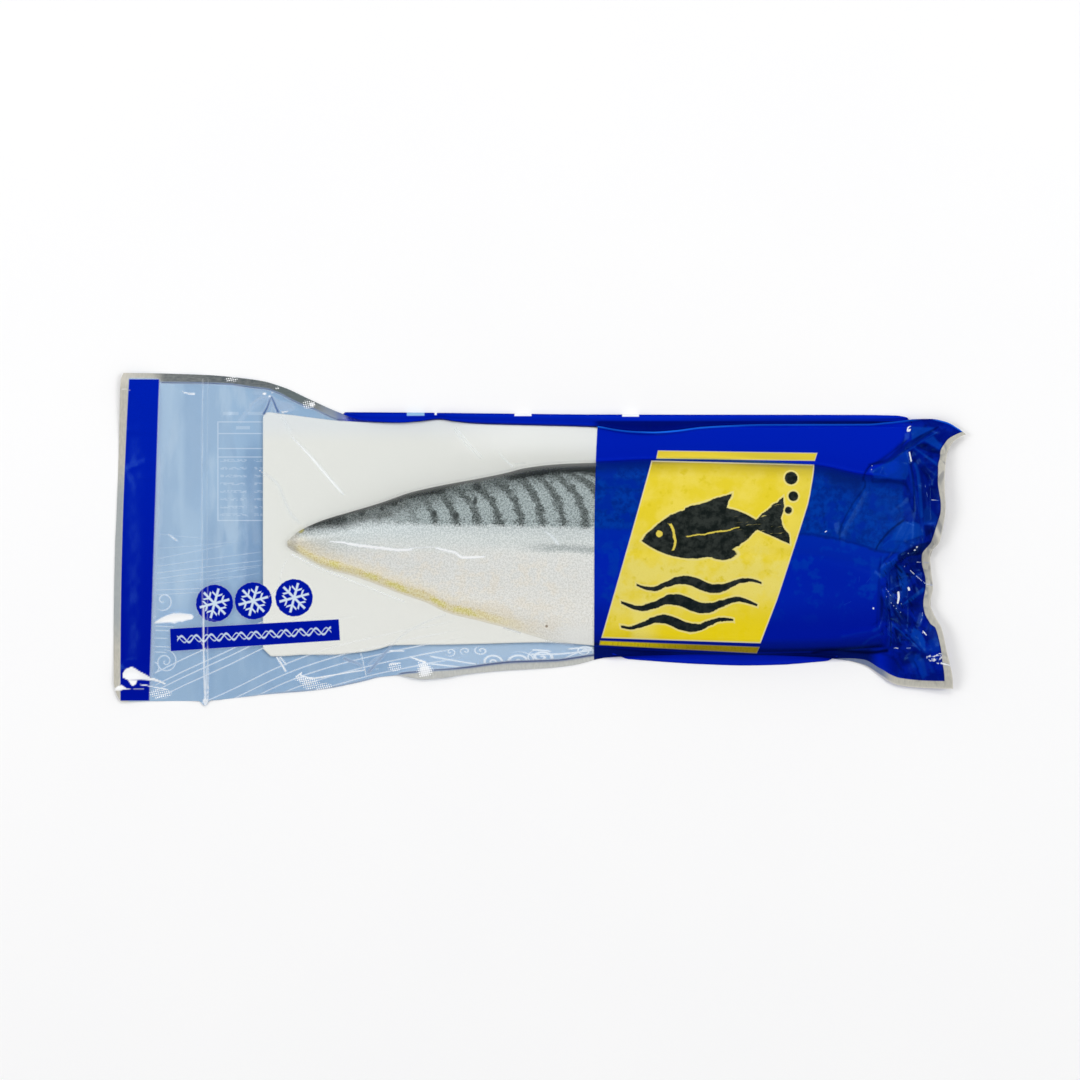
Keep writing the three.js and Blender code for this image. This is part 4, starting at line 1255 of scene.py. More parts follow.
def flesh_material():
    t = Tree("fish_flesh")
    vec = t.vector(t.x * 0.3, t.y, t.z * 2.0)
    grain = t.noise(vec, 0.4, 4.0, 0.6)
    flakes = t.noise(t.vector(t.x, t.y * 0.2, t.z), 0.12, 2.0, 0.5)
    color = t.mix(grain, inner(196, 160, 142), inner(226, 204, 186))
    color = t.mix(t.smooth(0.5, 0.66, flakes) * 0.6, color, inner(176, 120, 104))
    t.nt.links.new(principled(t, color, grain * 0.3 + 0.35, Normal=t.bump(grain, 0.4, 0.0003)), t.out.inputs[0])
    return t.mat


def board_material():
    t = Tree("white_card")
    fibre = t.noise(t.vector(t.x * 0.35, t.y * 1.5), 0.5, 4.0, 0.6)
    cloud = t.noise(t.vector(t.x, t.y), 0.018, 2.0, 0.5)
    color = t.mix(t.smooth(422, 445, t.y), inner(218, 222, 223), inner(224, 225, 219))
    color = t.mix(t.smooth(520, 640, t.y), color, inner(225, 225, 219))
    color = t.mix((fibre - 0.5).abs() * 0.5, color, inner(212, 212, 205))
    color = t.mix(cloud * 0.25, color, inner(220, 219, 211))
    # painted light: lighter near the back edge towards the head end, against the shade of the standing seam
    color = t.mix(t.smooth(420, 520, t.x) * t.smooth(462, 440, t.y) * 0.8, color, inner(236, 237, 233))
    t.nt.links.new(
        principled(t, color, fibre * 0.2 + 0.5, Normal=t.bump(fibre, 0.25, 0.0001), Specular_IOR_Level=0.25),
        t.out.inputs[0],
    )
    return t.mat


def scroll(t, cx, cy, pitch, turns, width, spin=1.0, start=0.0, squeeze=1.0):
    """A spiral line round a point."""
    dx, dy = (t.x - cx) * squeeze, (t.y - cy) * spin
    r = (dx * dx + dy * dy).root()
    turn = t.op("ARCTAN2", dy, dx) * (1.0 / (2 * np.pi))
    d = (r / pitch - turn + start).rest() * pitch
    return t.stroke(d, width) * t.smooth(pitch * turns + 0.5, pitch * turns - 0.5, r)


def wave_lines(t):
    """Thin white wave lines and curls, a common water pattern, printed on the clear film."""
    total = None

    def add(v):
        nonlocal total
        total = v if total is None else total.at_least(v)

    at_left = t.smooth(153.5, 155.5, t.x)
    # long shallow lines above the discs
    for a, b, c, end, amount in (
        (533, 0.12, -0.0006, 210, 0.35), (548, -0.05, -0.0004, 236, 0.4), (559, -0.185, -0.0002, 226, 0.55), (566.5, -0.15, 0.0001, 262, 0.6),
        (573, -0.13, 0.0001, 262, 0.75), (579, -0.155, 0.0002, 262, 0.6), (583.5, -0.10, 0.0001, 244, 0.5), (589.5, -0.02, -0.0003, 208, 0.8), (594.5, -0.06, 0.0, 200, 0.7),
    ):
        add(t.stroke(t.curve(a, b, c, x0=153), 0.24) * at_left * t.smooth(end + 10, end - 14, t.x) * amount)
    for a, b, c in ((577, -0.22, 0.0006), (585, -0.26, 0.0009)):
        add(t.stroke(t.curve(a, b, c, x0=200), 0.22) * t.smooth(203, 212, t.x) * t.smooth(264, 250, t.x) * 0.55)
    # short ripples beside the band
    for a, end in ((625.6, 176), (629.8, 172), (637.5, 169), (646, 172), (651.5, 168)):
        add(t.stroke(t.curve(a, 0.0, 0.002, x0=153), 0.42) * at_left * t.smooth(end, end - 4, t.x) * 0.85)
    # curls at the left
    add(scroll(t, 163, 600, 8.6, 1.2, 0.62, 1.0, 0.1) * at_left * 0.9)
    add(scroll(t, 165, 661, 6.2, 1.9, 0.6, -1.0, 0.3) * at_left * 0.9)
    add(scroll(t, 153, 666, 5.5, 1.5, 0.55, 1.0, 0.0) * at_left * 0.9)
    # long diagonals that flatten towards the right
    u = t.x - 208.0
    v = (t.x - 267.0).at_least(0.0)
    sweep = t.y + u * 0.47 - v * v * 0.0017 + v * v * v * 0.0000035 + (t.noise(t.vector(t.x, t.y), 0.012, 1.0, 0.4) - 0.5) * 4.0
    near = None
    for k in (647.0, 659.4, 665.2, 673.6, 699.6, 709.5, 717.8, 727.0, 736.8, 746.0):
        d = (sweep - k).abs()
        near = d if near is None else near.at_most(d)
    add(t.smooth(1.05, 0.25, near) * at_left * t.smooth(470, 420, t.x) * t.smooth(612, 622, t.y) * 0.95)
    # sweeping crests and a row of curls in the bottom strip
    for a, b, c, x0, x1 in (
        (655.3, 0.2, -0.0006, 428, 478), (663, 0.11, 0.0, 428, 464), (653.6, 0.04, -0.0016, 528, 594), (660.4, -0.62, 0.0075, 560, 594),
        (649.4, 0.0, 0.003, 530, 552), (648.5, -0.1, 0.002, 566, 594),
    ):
        add(t.stroke(t.curve(a, b, c, x0=x0), 0.75) * t.smooth(x0, x0 + 4, t.x) * t.smooth(x1, x1 - 4, t.x))
    for cx, cy, pitch, turns, width, spin, start, squeeze in (
        (450, 651.5, 3.4, 1.3, 0.45, 1.0, 0.0, 0.8), (465, 650.5, 3.2, 1.2, 0.4, -1.0, 0.4, 0.7), (481, 650, 3.4, 1.4, 0.5, 1.0, 0.2, 0.66),
        (491.5, 661.5, 4.4, 2.0, 0.9, 1.0, 0.3, 0.72), (519, 660, 4.4, 2.0, 0.9, -1.0, 0.1, 0.58), (541, 656.5, 4.2, 1.9, 0.9, 1.0, 0.6, 0.56),
        (584, 650.5, 2.8, 1.9, 0.55, 1.0, 0.1, 0.6),
    ):
        add(scroll(t, cx, cy, pitch, turns, width, spin, start, squeeze) * t.smooth(PRINT_EDGE, PRINT_EDGE - 2, t.x))
    return total


def brushed_fish(t, bx, by):
    """A plain fish in brush strokes, over three waves. Negative inside the ink."""
    c, s = float(np.cos(-0.14)), float(np.sin(-0.14))
    fx = (bx - 700.0) * c + (by - 532.0) * s
    fy = (by - 532.0) * c - (bx - 700.0) * s
    reach, half = 84.0, 25.5
    off = reach - half
    body = ((fx * fx + (fy - off) * (fy - off)).root() - reach).at_least((fx * fx + (fy + off) * (fy + off)).root() - reach)
    tx = fx - 52.0
    tail = (fy.abs() - (tx * 0.62 + 3.2)).at_least(tx - 33.0).at_least(-tx - 4.0)
    tail = tail.at_least(19.0 - ((tx - 47.0) * (tx - 47.0) + fy * fy).root())
    fin = (fy + 21.0 + fx * 0.16).abs() - 7.5
    fin = fin.at_least((fx + 4.0 + fy * 0.5).abs() - 22.0)
    low_fin = ((fx - 6.0 - fy * 0.5) * (fx - 6.0 - fy * 0.5) * 0.25 + (fy - 24.0) * (fy - 24.0)).root() - 6.5
    shape = body.at_most(tail).at_most(fin).at_most(low_fin)
    eye = ((fx + 42.0) * (fx + 42.0) + (fy + 4.5) * (fy + 4.5)).root() - 3.2
    gill = (((fx + 54.0) * (fx + 54.0) + fy * fy).root() - 27.0).abs() - 1.3
    gill = gill.at_least(fy.abs() - 13.5).at_least(-38.0 - fx)
    line = (fy - 2.0 + fx * fx * 0.0012).abs() - 0.9 + (fx - 10.0).abs() * 0.02
    line = line.at_least(-fx - 16.0).at_least(fx - 38.0)
    bare = eye.at_most(gill).at_most(line)
    for cy, span, x0, thick in ((583.5, 62.0, 698.0, 5.4), (603.0, 68.0, 688.0, 6.4), (622.5, 56.0, 676.0, 5.4)):
        u = bx - x0
        wave = (by - cy - (u * 0.098).sin() * 4.4).abs() - thick + u.abs() * (thick / span) * 0.8
        shape = shape.at_most(wave.at_least(u.abs() - span))
    drops = t.disc(789, 478, 6.4).at_most(t.disc(791, 496, 4.9)).at_most(t.disc(786, 510, 3.6))
    return shape.at_most(drops), bare, fx, fy


def film_material(name, printed):
    """Clear glossy film with ink on its inner side. Both halves share it, each with its own part of the print."""
    t = Tree(name)
    flat = t.vector(t.x, t.y)
    whitening_and_glint, shaded, cavity = t.attribute("whitening_and_glint"), t.attribute("shaded"), t.attribute("cavity")
    fine = t.noise(flat, 0.9, 3.0, 0.6)
    cloud = t.noise(flat, 0.05, 3.0, 0.5)
    brushed = t.noise(t.vector(t.x * 0.9, t.y * 0.28), 0.6, 3.0, 0.6)

    if printed:
        on, belt = t.attribute("on_fish"), t.attribute("belt")
        from_back, to_belly = t.attribute("from_back"), t.attribute("to_belly")
        from_end, from_foot = t.attribute("from_end"), t.attribute("from_foot")
        mottle = t.noise(flat, 0.14, 4.0, 0.6)
        patch = t.noise(flat, 0.045, 3.0, 0.55)
        # ink over the white card, over the dark back and over the pale flank
        on_board = t.mix(t.smooth(440, 660, t.y), linear(0, 30, 182), linear(0, 26, 170))
        on_back = t.mix(t.smooth(0.36, 0.64, mottle), linear(1, 38, 132), linear(1, 54, 158))
        on_back = t.mix(t.smooth(0.5, 0.62, patch), on_back, linear(0, 38, 150))
        # painted shade: darker near the back's edge, where the film falls steeply
        on_back = t.mix(t.smooth(15, 2, from_back), on_back, linear(1, 29, 118))
        on_flank = t.mix(t.smooth(0, 40, belt), linear(1, 38, 164), t.mix(t.smooth(700, 860, t.x), linear(0, 31, 174), linear(0, 28, 164)))
        on_flank = t.mix(t.smooth(0.5, 0.64, patch + (mottle - 0.5) * 0.3) * 0.8, on_flank, linear(0, 50, 168))
        # painted shade: darker towards the belly edge, on the slope turned away from the light
        on_flank = t.mix(t.smooth(60, 24, to_belly), on_flank, linear(0, 19, 152))
        on_flank = t.mix(t.smooth(17, 6, to_belly), on_flank, linear(0, 15, 134))
        on_flank = t.mix(t.smooth(6, 1, to_belly), on_flank, linear(1, 8, 66))
        step = belt + (mottle - 0.5) * 5.0
        on_back = t.mix(t.smooth(818, 832, t.x) * t.smooth(864, 856, t.x) * t.smooth(30, 8, from_back) * 0.8, on_back, linear(3, 28, 104))
        on_skin = t.mix(t.smooth(-2.5, 2.5, step), on_back, on_flank)
        on_skin = t.mix(t.stroke(step, 1.3, 1.2) * t.smooth(770, 800, t.x) * 0.6, on_skin, linear(1, 24, 112))
        blue = t.mix(on, on_board, on_skin)
        # painted shadow: a dark line along the fillet's back
        contour = t.stroke(from_back + 0.4, 0.7, 1.1) * t.smooth(902, 880, t.x)
        blue = t.mix(contour * 0.8, blue, linear(2, 20, 88))
        # painted shade past the belly edge
        beyond = t.smooth(0.5, -1.5, to_belly) * t.smooth(880, 866, t.x)
        blue = t.mix(beyond * 0.8, blue, linear(2, 9, 52))
        # the gathered film at the head end is painted darker overall, with painted light on its ridges and painted
        # shade in its creases
        gathered = t.smooth(876, 896, t.x - t.smooth(500, 440, t.y) * 22.0)
        tone = t.mix(t.smooth(0.42, 0.6, t.noise(flat, 0.07, 3.0, 0.6)), linear(0, 12, 108), linear(1, 24, 138))
        blue = t.mix(gathered * t.smooth(0.9, 0.4, on * t.smooth(908, 896, t.x)) * 0.85, blue, tone)
        blue = t.mix(t.smooth(0.05, 0.7, cavity) * 0.5, blue, linear(2, 52, 164))
        blue = t.mix(t.smooth(-0.05, -0.6, cavity) * 0.8, blue, linear(0, 8, 84))
        blue = t.mix(t.smooth(0.4, 0.9, fine) * 0.25, blue, linear(2, 46, 178))
        # painted light on the facets turned to the lamps
        blue = t.mix((t.attribute("lit") * (fine * 0.5 + 0.75)).clamp(), blue, linear(3, 60, 168))
        # a painted highlight along the standing seam
        blue = t.mix(t.attribute("seam_highlight") * 0.95, blue, linear(24, 108, 240))
        color = t.mix((shaded * (fine * 0.4 + 0.8)).clamp(), blue, linear(0, 5, 58))
        # fine creases behind the cut end, painted as streaks of shade and light
        creased = t.noise(t.vector(t.x * 0.9 - t.y * 0.5, t.y * 0.24 + t.x * 0.12), 0.42, 3.0, 0.6)
        behind = t.smooth(874, 886, t.x) * t.smooth(922, 908, t.x) * t.smooth(554, 566, t.y) * t.smooth(648, 636, t.y)
        color = t.mix(t.smooth(0.54, 0.64, creased) * behind * 0.66, color, linear(0, 4, 62))
        color = t.mix(t.smooth(0.4, 0.3, creased) * behind * 0.5, color, linear(6, 66, 176))
        cream = linear(228, 217, 160)
        # panel and bars
        panel = t.convex((651, 461), (812.3, 464.8), (807, 495), (798.6, 531.7), (787.3, 565), (774.7, 598.8), (761, 641.8), (601.5, 636.6))
        bar_top = t.convex((657.5, 450.3), (816.4, 452.7), (814, 460.2), (655.9, 458))
        bar_low = t.convex((599.5, 640), (758.3, 646.2), (756, 652.6), (598.8, 644.4))
        sun = t.mix(t.smooth(0.36, 0.64, t.noise(flat, 0.036, 3.0, 0.55)), linear(227, 205, 46), linear(233, 213, 82))
        frost = t.smooth(0.42, 0.66, t.noise(flat, 0.05, 3.0, 0.6) + t.smooth(550, 576, t.y) * t.smooth(606, 588, t.y) * 0.12)
        sun = t.mix(frost * t.smooth(520, 560, t.y) * 0.8, sun, linear(232, 217, 112))
        sun = t.mix(t.smooth(0.57, 0.72, t.noise(flat, 0.08, 3.0, 0.6)) * 0.8, sun, linear(217, 195, 26))
        sun = t.mix(t.smooth(600, 632, t.y + (cloud - 0.5) * 34.0 - (680.0 - t.x) * 0.12) * 0.9, sun, linear(229, 205, 10))
        sun = t.mix(t.smooth(626, 636, t.x) * t.smooth(664, 640, t.x) * t.smooth(590, 610, t.y) * 0.6, sun, linear(236, 222, 120))
        sun = t.mix(t.smooth(0.45, 0.3, fine) * 0.35, sun, linear(206, 186, 44))
        # painted shade: the yellow darkens where the film falls away over the fillet's back
        sun = t.mix(t.smooth(20, 4, from_back) * 0.6, sun, linear(178, 158, 34))
        sun = t.mix(t.smooth(6, 1, from_back) * 0.5, sun, linear(128, 116, 40))
        sun = t.mix(t.smooth(775, 812, t.x) * 0.35, sun, linear(214, 196, 62))
        # the lower bar darkens to the right with painted shade, where the film turns down over the belly
        low = t.mix(t.smooth(620, 700, t.x), linear(212, 192, 16), linear(160, 138, 2))
        low = t.mix(t.smooth(0.45, 0.7, brushed) * 0.4, low, linear(116, 100, 4))
        color = t.mix(t.inside(panel - 0.6), color, cream)
        color = t.mix(t.inside(panel + 0.5), color, sun)
        color = t.mix(t.inside(bar_top - 0.2), color, cream)
        color = t.mix(t.inside(bar_top + 0.5), color, linear(230, 208, 62))
        color = t.mix(t.inside(bar_low - 0.1), color, linear(150, 140, 90))
        color = t.mix(t.inside(bar_low + 0.5), color, low)
        # a plain fish in brush strokes
        wobble = (t.noise(flat, 0.10, 3.0, 0.55) - 0.5) * 5.0
        ragged = (fine - 0.5) * 1.0
        art, bare, fx, fy = brushed_fish(t, t.x + wobble, t.y + wobble * 0.7)
        art = art + ragged
        black = t.mix(t.smooth(0.38, 0.62, t.noise(flat, 0.12, 4.0, 0.65)), linear(20, 27, 26), linear(48, 53, 50))
        black = t.mix(t.smooth(0.6, 0.8, fine) * 0.5, black, linear(78, 80, 68))
        black = t.mix(t.smooth(560, 610, t.y) * 0.5, black, linear(14, 27, 33))
        dry = t.smooth(0.6, 0.74, t.noise(t.vector(fx * 0.12, fy), 0.5, 3.0, 0.6)) * t.smooth(24, 62, fx) * t.smooth(562, 556, t.y)
        in_panel = t.inside(panel + 2.2)
        color = t.mix(t.inside(art - 1.7) * in_panel, color, linear(228, 214, 128))
        color = t.mix(t.inside(art) * in_panel * (1.0 - dry * 0.75), color, black)
        color = t.mix(t.inside(bare + ragged) * in_panel, color, linear(222, 202, 84))
        # the unprinted rim along the free end, and along the foot near it
        rim = t.smooth(8.2, 7.2, from_end).at_least(
            t.smooth(7.6, 6.6, from_foot) * t.smooth(832, 840, t.x))
        color = t.mix(t.smooth(10.5, 8.5, from_end) * 0.6, color, linear(1, 18, 96))
        grey = t.mix((brushed * 1.4 - 0.3).clamp(), linear(198, 195, 184), linear(166, 165, 158))
        # painted shade on the rim: darker in its creases and, left of the corner, where it lies in shadow
        grey = t.mix(t.smooth(-0.02, -0.2, cavity) * 0.6, grey, linear(120, 124, 130))
        grey = t.mix(t.smooth(893, 880, t.x), grey, t.mix(brushed, linear(96, 110, 144), linear(124, 134, 156)))
        color = t.mix(rim, color, grey)
        edge = t.smooth(1.4, 0.4, from_end.at_most(from_foot + t.smooth(848, 838, t.x) * 9.0))
        color = t.mix(edge * 0.6, color, linear(222, 218, 206))
    else:
        paint = t.mix(t.smooth(380, 700, t.y), linear(0, 32, 176), linear(0, 18, 154))
        down = t.y - 378.6
        left = t.x - 128.8 + down * 0.062 - down * down * 0.000108
        wide = down * 0.0305 - down * down * 0.000108 + 30.5
        soft_side = t.smooth(1.2, -1.2, left - wide + t.smooth(470, 560, t.y) * (fine - 0.5) * 1.6)
        band = t.smooth(-0.5, 0.5, left) * soft_side * t.smooth(378.2, 379.2, t.y) * t.smooth(700.6, 699.8, t.y)
        band_shade = t.smooth(5.5, 0.0, left - wide) * t.smooth(-1.0, 0.5, left - wide) * t.smooth(440, 480, t.y) * t.smooth(700, 690, t.y)
        ragged = (t.noise(flat, 0.35, 2.0, 0.5) - 0.5) * 1.6
        discs = None
        marks = None
        for cx, cy in ((214.3, 602.8), (253.0, 600.3), (293.8, 597.2)):
            d = t.disc(cx, cy, 18.7) + ragged
            discs = d if discs is None else discs.at_most(d)
            dx, dy = t.x - cx, t.y - cy
            r = (dx * dx + dy * dy).root()
            # a plain snow star: six arms, each with two small branches that point outwards
            turn = (t.op("ARCTAN2", dy, dx) + 0.26) * (3.0 / np.pi)
            off = turn.rest() * (np.pi / 3.0)
            a, b = r * off.cos(), r * off.sin()
            arm = b.at_least(r - 14.0) - 1.15
            branch = (a - b * 0.62 - 7.4).abs().at_least(b - 4.2) - 0.95
            hub = r - 2.6
            m = arm.at_most(branch).at_most(hub)
            marks = m if marks is None else marks.at_most(m)
        banner = t.convex((169.6, 628.1), (338.4, 618.6), (339.8, 639.7), (170.3, 650.8))
        bu = (t.x - 170.0) * 0.9984 - (t.y - 639.5) * 0.0563
        bv = (t.y - 639.5) + (t.x - 170.0) * 0.0585
        ripple = (bv - (bu * 0.42).sin() * 3.2).abs() * 0.72 - 0.75
        ripple2 = (bv - (bu * 0.42 + 1.9).sin() * 3.2).abs() * 0.72 - 0.4
        ripple = ripple.at_most(ripple2).at_least((bu - 84.0).abs() - 77.0)
        blue = band.at_least(t.inside(discs)).at_least(t.inside(banner))
        white_marks = t.inside(marks + ragged * 0.4) * t.inside(discs + 1.5)
        white_marks = white_marks.at_least(t.inside(ripple) * t.inside(banner) * 0.9)
        margin, line = t.attribute("margin"), t.attribute("margin_line")
        waves_ink = wave_lines(t) * (1.0 - blue) * (1.0 - margin) * (1.0 - t.attribute("over_board") * 0.8)
        color = t.mix(blue, linear(226, 235, 244), paint)
        color = t.mix(t.smooth(0.45, 0.7, fine) * blue * 0.3, color, linear(0, 14, 132))
        color = t.mix(white_marks, color, linear(206, 222, 238))
        cover = (blue * 0.99).at_least(waves_ink * (t.smooth(400, 440, t.x) * 0.26 + 0.62))

    # frosty whitening and painted glints on sharp folds, and knurled spots in the seal
    knurl = ((t.x * 1.75 + t.y * 1.1).sin() * (t.x * -1.2 + t.y * 1.9).sin() + (fine - 0.5) * 1.8)
    frost_dots = t.smooth(0.1, 0.55, knurl)
    frosty = t.smooth(0.55, 0.85, t.attribute("frosty") * (frost_dots * 0.5 + 0.6))
    frost_and_glint = frosty.at_least(t.smooth(0.03, 0.6, whitening_and_glint * (0.8 + fine * 0.4)) * whitening_and_glint).clamp()

    if not printed:
        haze = cloud * 0.02 + 0.006
        # the sealed rim is duller than the rest, and dark where it lies over its own shadow
        bright = t.smooth(150, 116, t.x)
        dark_part = (t.smooth(148, 168, t.x) * 0.92 + t.smooth(202, 208, t.x) * 0.08) * t.smooth(430, 400, t.y)
        streaky = t.noise(t.vector(t.x * 0.34, t.y * 1.2), 0.6, 3.0, 0.6)
        grey = t.mix((brushed * 1.6 - 0.4).clamp(), linear(205, 201, 189), linear(170, 168, 160))
        shade = t.mix((streaky * 2.0 - 0.5).clamp(), linear(130, 132, 128), linear(70, 76, 78))
        grey = t.mix(dark_part, grey, shade)
        grey = t.mix(bright * t.smooth(392, 378, t.y) * 0.6, grey, linear(222, 218, 208))
        grey = t.mix(t.smooth(271, 278, t.x) * t.smooth(314, 304, t.x) * t.smooth(430, 424, t.y) * 0.8, grey, linear(96, 105, 101))
        grey = t.mix(t.smooth(314, 330, t.x) * t.smooth(430, 424, t.y) * 0.85, grey, t.mix(t.smooth(330, 346, t.x), linear(138, 148, 164), linear(84, 112, 180)))
        grey = t.mix(t.smooth(140, 126, t.x) * t.smooth(455, 500, t.y) * t.smooth(660, 610, t.y) * 0.6, grey, linear(145, 159, 171))
        low_rim = t.smooth(640, 660, t.y) * t.smooth(380, 400, t.x)
        grey = t.mix(low_rim, grey, t.mix((brushed * 1.6 - 0.4).clamp(), linear(206, 205, 197), linear(172, 173, 169)))
        color = t.mix(margin * (1.0 - blue), color, grey)
        color = t.mix(line, color, t.mix(t.smooth(430, 470, t.x), linear(44, 62, 112), linear(10, 28, 100)))
        shade_mix = shaded.at_least(band_shade * 0.4)
        shade_color = t.mix(t.attribute("over_board"), linear(42, 86, 146), linear(84, 90, 98))
        color = t.mix(shade_mix * (1.0 - blue), color, shade_color)
        solid = (cover + haze).at_least(margin * 0.9).at_least(line * 0.92).at_least(shade_mix)
    white = linear(250, 251, 252)
    # painted glints are light blue where faint over the blue ink, and white where strong
    color = t.mix(frost_and_glint, color, t.mix(t.smooth(0.15, 0.55, frost_and_glint), linear(70, 132, 236), white) if printed else white)
    if not printed:
        solid = solid.at_least(frost_and_glint).clamp()

    bump = t.bump(fine * 0.35 + t.noise(flat, 0.28, 3.0, 0.55), 0.3, 0.00006)
    ink = t.nt.nodes.new("ShaderNodeBsdfDiffuse")
    t.link(color, ink.inputs["Color"])
    body = ink.outputs[0]
    if not printed:
        clear = t.nt.nodes.new("ShaderNodeBsdfTransparent")
        clear.inputs["Color"].default_value = (0.98, 0.985, 0.99, 1.0)
        body = t.shade(solid, clear.outputs[0], body)
    gloss = t.nt.nodes.new("ShaderNodeBsdfGlossy")
    gloss.inputs["Roughness"].default_value = 0.24 if printed else 0.17
    # over the blue ink the sheen takes the ink's colour
    if printed:
        plain = t.inside(panel + 0.5).at_least(t.inside(bar_top + 0.5)).at_least(rim)
    else:
        plain = 1.0 - blue
    sheen = t.mix(plain, BLUE_SHEEN, (1.0, 1.0, 1.0, 1.0))
    if printed:
        sheen = t.mix(t.inside(bar_low + 0.5), sheen, (1.0, 0.9, 0.4, 1.0))
    t.link(sheen, gloss.inputs["Color"])
    t.nt.links.new(bump, gloss.inputs["Normal"])
    whole = t.shade(film_fresnel(t, bump, 0.55 if printed else 0.45), body, gloss.outputs[0])
    if not printed:                        # the lamps shine through
        path = t.nt.nodes.new("ShaderNodeLightPath")
        lamps = t.nt.nodes.new("ShaderNodeBsdfTransparent")
        lamps.inputs["Color"].default_value = (0.95, 0.955, 0.96, 1.0)
        whole = t.shade(path.outputs["Is Shadow Ray"], whole, lamps.outputs[0])
    t.nt.links.new(whole, t.out.inputs[0])
    return t.mat


def back_film_material():
    """Light blue at the tail end, blue at the head end and along the rolled edge, with a plain printed table."""
    t = Tree("back_film")
    flat = t.vector(t.x, t.y)
    cloud = t.noise(flat, 0.03, 3.0, 0.5)
    fine = t.noise(flat, 0.7, 3.0, 0.6)
    pale = t.mix(t.smooth(160, 262, t.x), linear(172, 198, 222), linear(153, 184, 214))
    pale = t.mix(t.smooth(0.42, 0.6, t.noise(t.vector(t.x, t.y * 0.28), 0.045, 3.0, 0.5)) * 0.8, pale, linear(156, 184, 212))
    pale = t.mix(t.smooth(0.5, 0.64, t.noise(t.vector(t.x, t.y * 0.22 + 9.0), 0.06, 3.0, 0.5)) * 0.6, pale, linear(180, 203, 224))
    pale = t.mix(t.smooth(180, 187, t.x) * t.smooth(206, 198, t.x) * t.smooth(530, 480, t.y + (cloud - 0.5) * 60.0) * 0.75, pale, linear(150, 179, 209))
    pale = t.mix(t.smooth(202, 205, t.x) * t.smooth(219, 212, t.x) * t.smooth(490, 530, t.y) * 0.6, pale, linear(146, 175, 205))
    # painted shade: darker where the film rises to the board's edge
    deep = t.smooth(234, 256, t.x + (cloud - 0.5) * 40.0) * t.smooth(425, 470, t.y) * t.smooth(640, 590, t.y)
    pale = t.mix(deep * 0.85, pale, linear(122, 155, 191))
    pale = t.mix(t.smooth(0.5, 0.6, t.noise(t.vector(t.x * 1.4, t.y * 0.35 + 4.0), 0.05, 2.0, 0.5)) * t.smooth(212, 225, t.x) * t.smooth(430, 460, t.y) * 0.35, pale, linear(128, 160, 196))
    pale = t.mix(t.smooth(560, 690, t.y) * 0.7, pale, linear(144, 174, 204))
    # painted light: lighter along the foot, against the fillet's shadow there
    pale = t.mix(t.smooth(380, 440, t.x) * t.smooth(636, 650, t.y) * 0.8, pale, linear(180, 202, 224))
    pale = t.mix((fine - 0.5).abs() * 0.4, pale, linear(188, 209, 229))
    # table: a frame, two rules, and short bars in rows
    line = None

    def add(v):
        nonlocal line
        line = v if line is None else line.at_least(v)

    span_x = t.smooth(216.6, 217.6, t.x) * t.smooth(388.5, 387.5, t.x)
    span_y = t.smooth(420.6, 421.6, t.y) * t.smooth(521, 520, t.y)
    for y in (421.4, 433.0, 448.0, 456.5, 520.0):
        add(t.stroke(t.y - y, 0.5) * span_x)
    for x in (217.4, 388.0):
        add(t.stroke(t.x - x, 0.55) * span_y)
    row = ((t.y - 460.0) / 7.75)
    near_row = t.stroke(row.rest() * 7.75, 1.3) * t.smooth(457.5, 459, t.y) * t.smooth(517, 516, t.y)
    words = t.smooth(0.44, 0.5, t.noise(t.vector(t.x * 0.5, (row + 0.5) * 9.0), 0.6, 0.0, 0.0))
    cols = t.smooth(219, 220.5, t.x) * t.smooth(247, 245.5, t.x)
    cols = cols.at_least(t.smooth(253, 254.5, t.x) * t.smooth(384, 382.5, t.x))
    add(near_row * words * cols * 0.6)
    head = t.stroke(t.y - 427.2, 1.6) * t.smooth(235, 236, t.x) * t.smooth(250, 249, t.x)
    add(head * 0.6)
    add(t.stroke(t.y - 413.0, 1.6) * t.smooth(219, 220, t.x) * t.smooth(262, 261, t.x) * t.smooth(0.36, 0.46, t.noise(t.vector(t.x * 0.3, 2.0), 0.7, 0.0, 0.0)) * 0.5)
    pale = t.mix(line * 0.46, pale, linear(222, 234, 245))
    # deep blue parts
    strip = t.smooth(336, 338.5, t.x) * t.smooth(436, 434, t.y)
    head_end = t.smooth(-0.5, 0.5, t.x - (PRINT_EDGE - 2.0) - t.smooth(500, 430, t.y) * 3.3)
    # painted light and shade on the rolled edge: lighter across its top, darker in the valley next to the seam
    valley = t.smooth(419.5, 421.5, t.y) * t.smooth(440, 436, t.y) * t.smooth(590, 600, t.x)
    blue = t.mix(t.smooth(411, 416, t.y) * t.smooth(440, 420, t.y), linear(0, 24, 150), linear(0, 33, 184))
    blue = t.mix(valley, blue, t.mix(t.smooth(780, 840, t.x), linear(0, 13, 116), linear(0, 14, 96)))
    blue = t.mix(t.smooth(640, 655, t.y), blue, linear(5, 30, 180))
    blue = t.mix((cloud - 0.35).clamp() * 0.5, blue, linear(1, 25, 146))
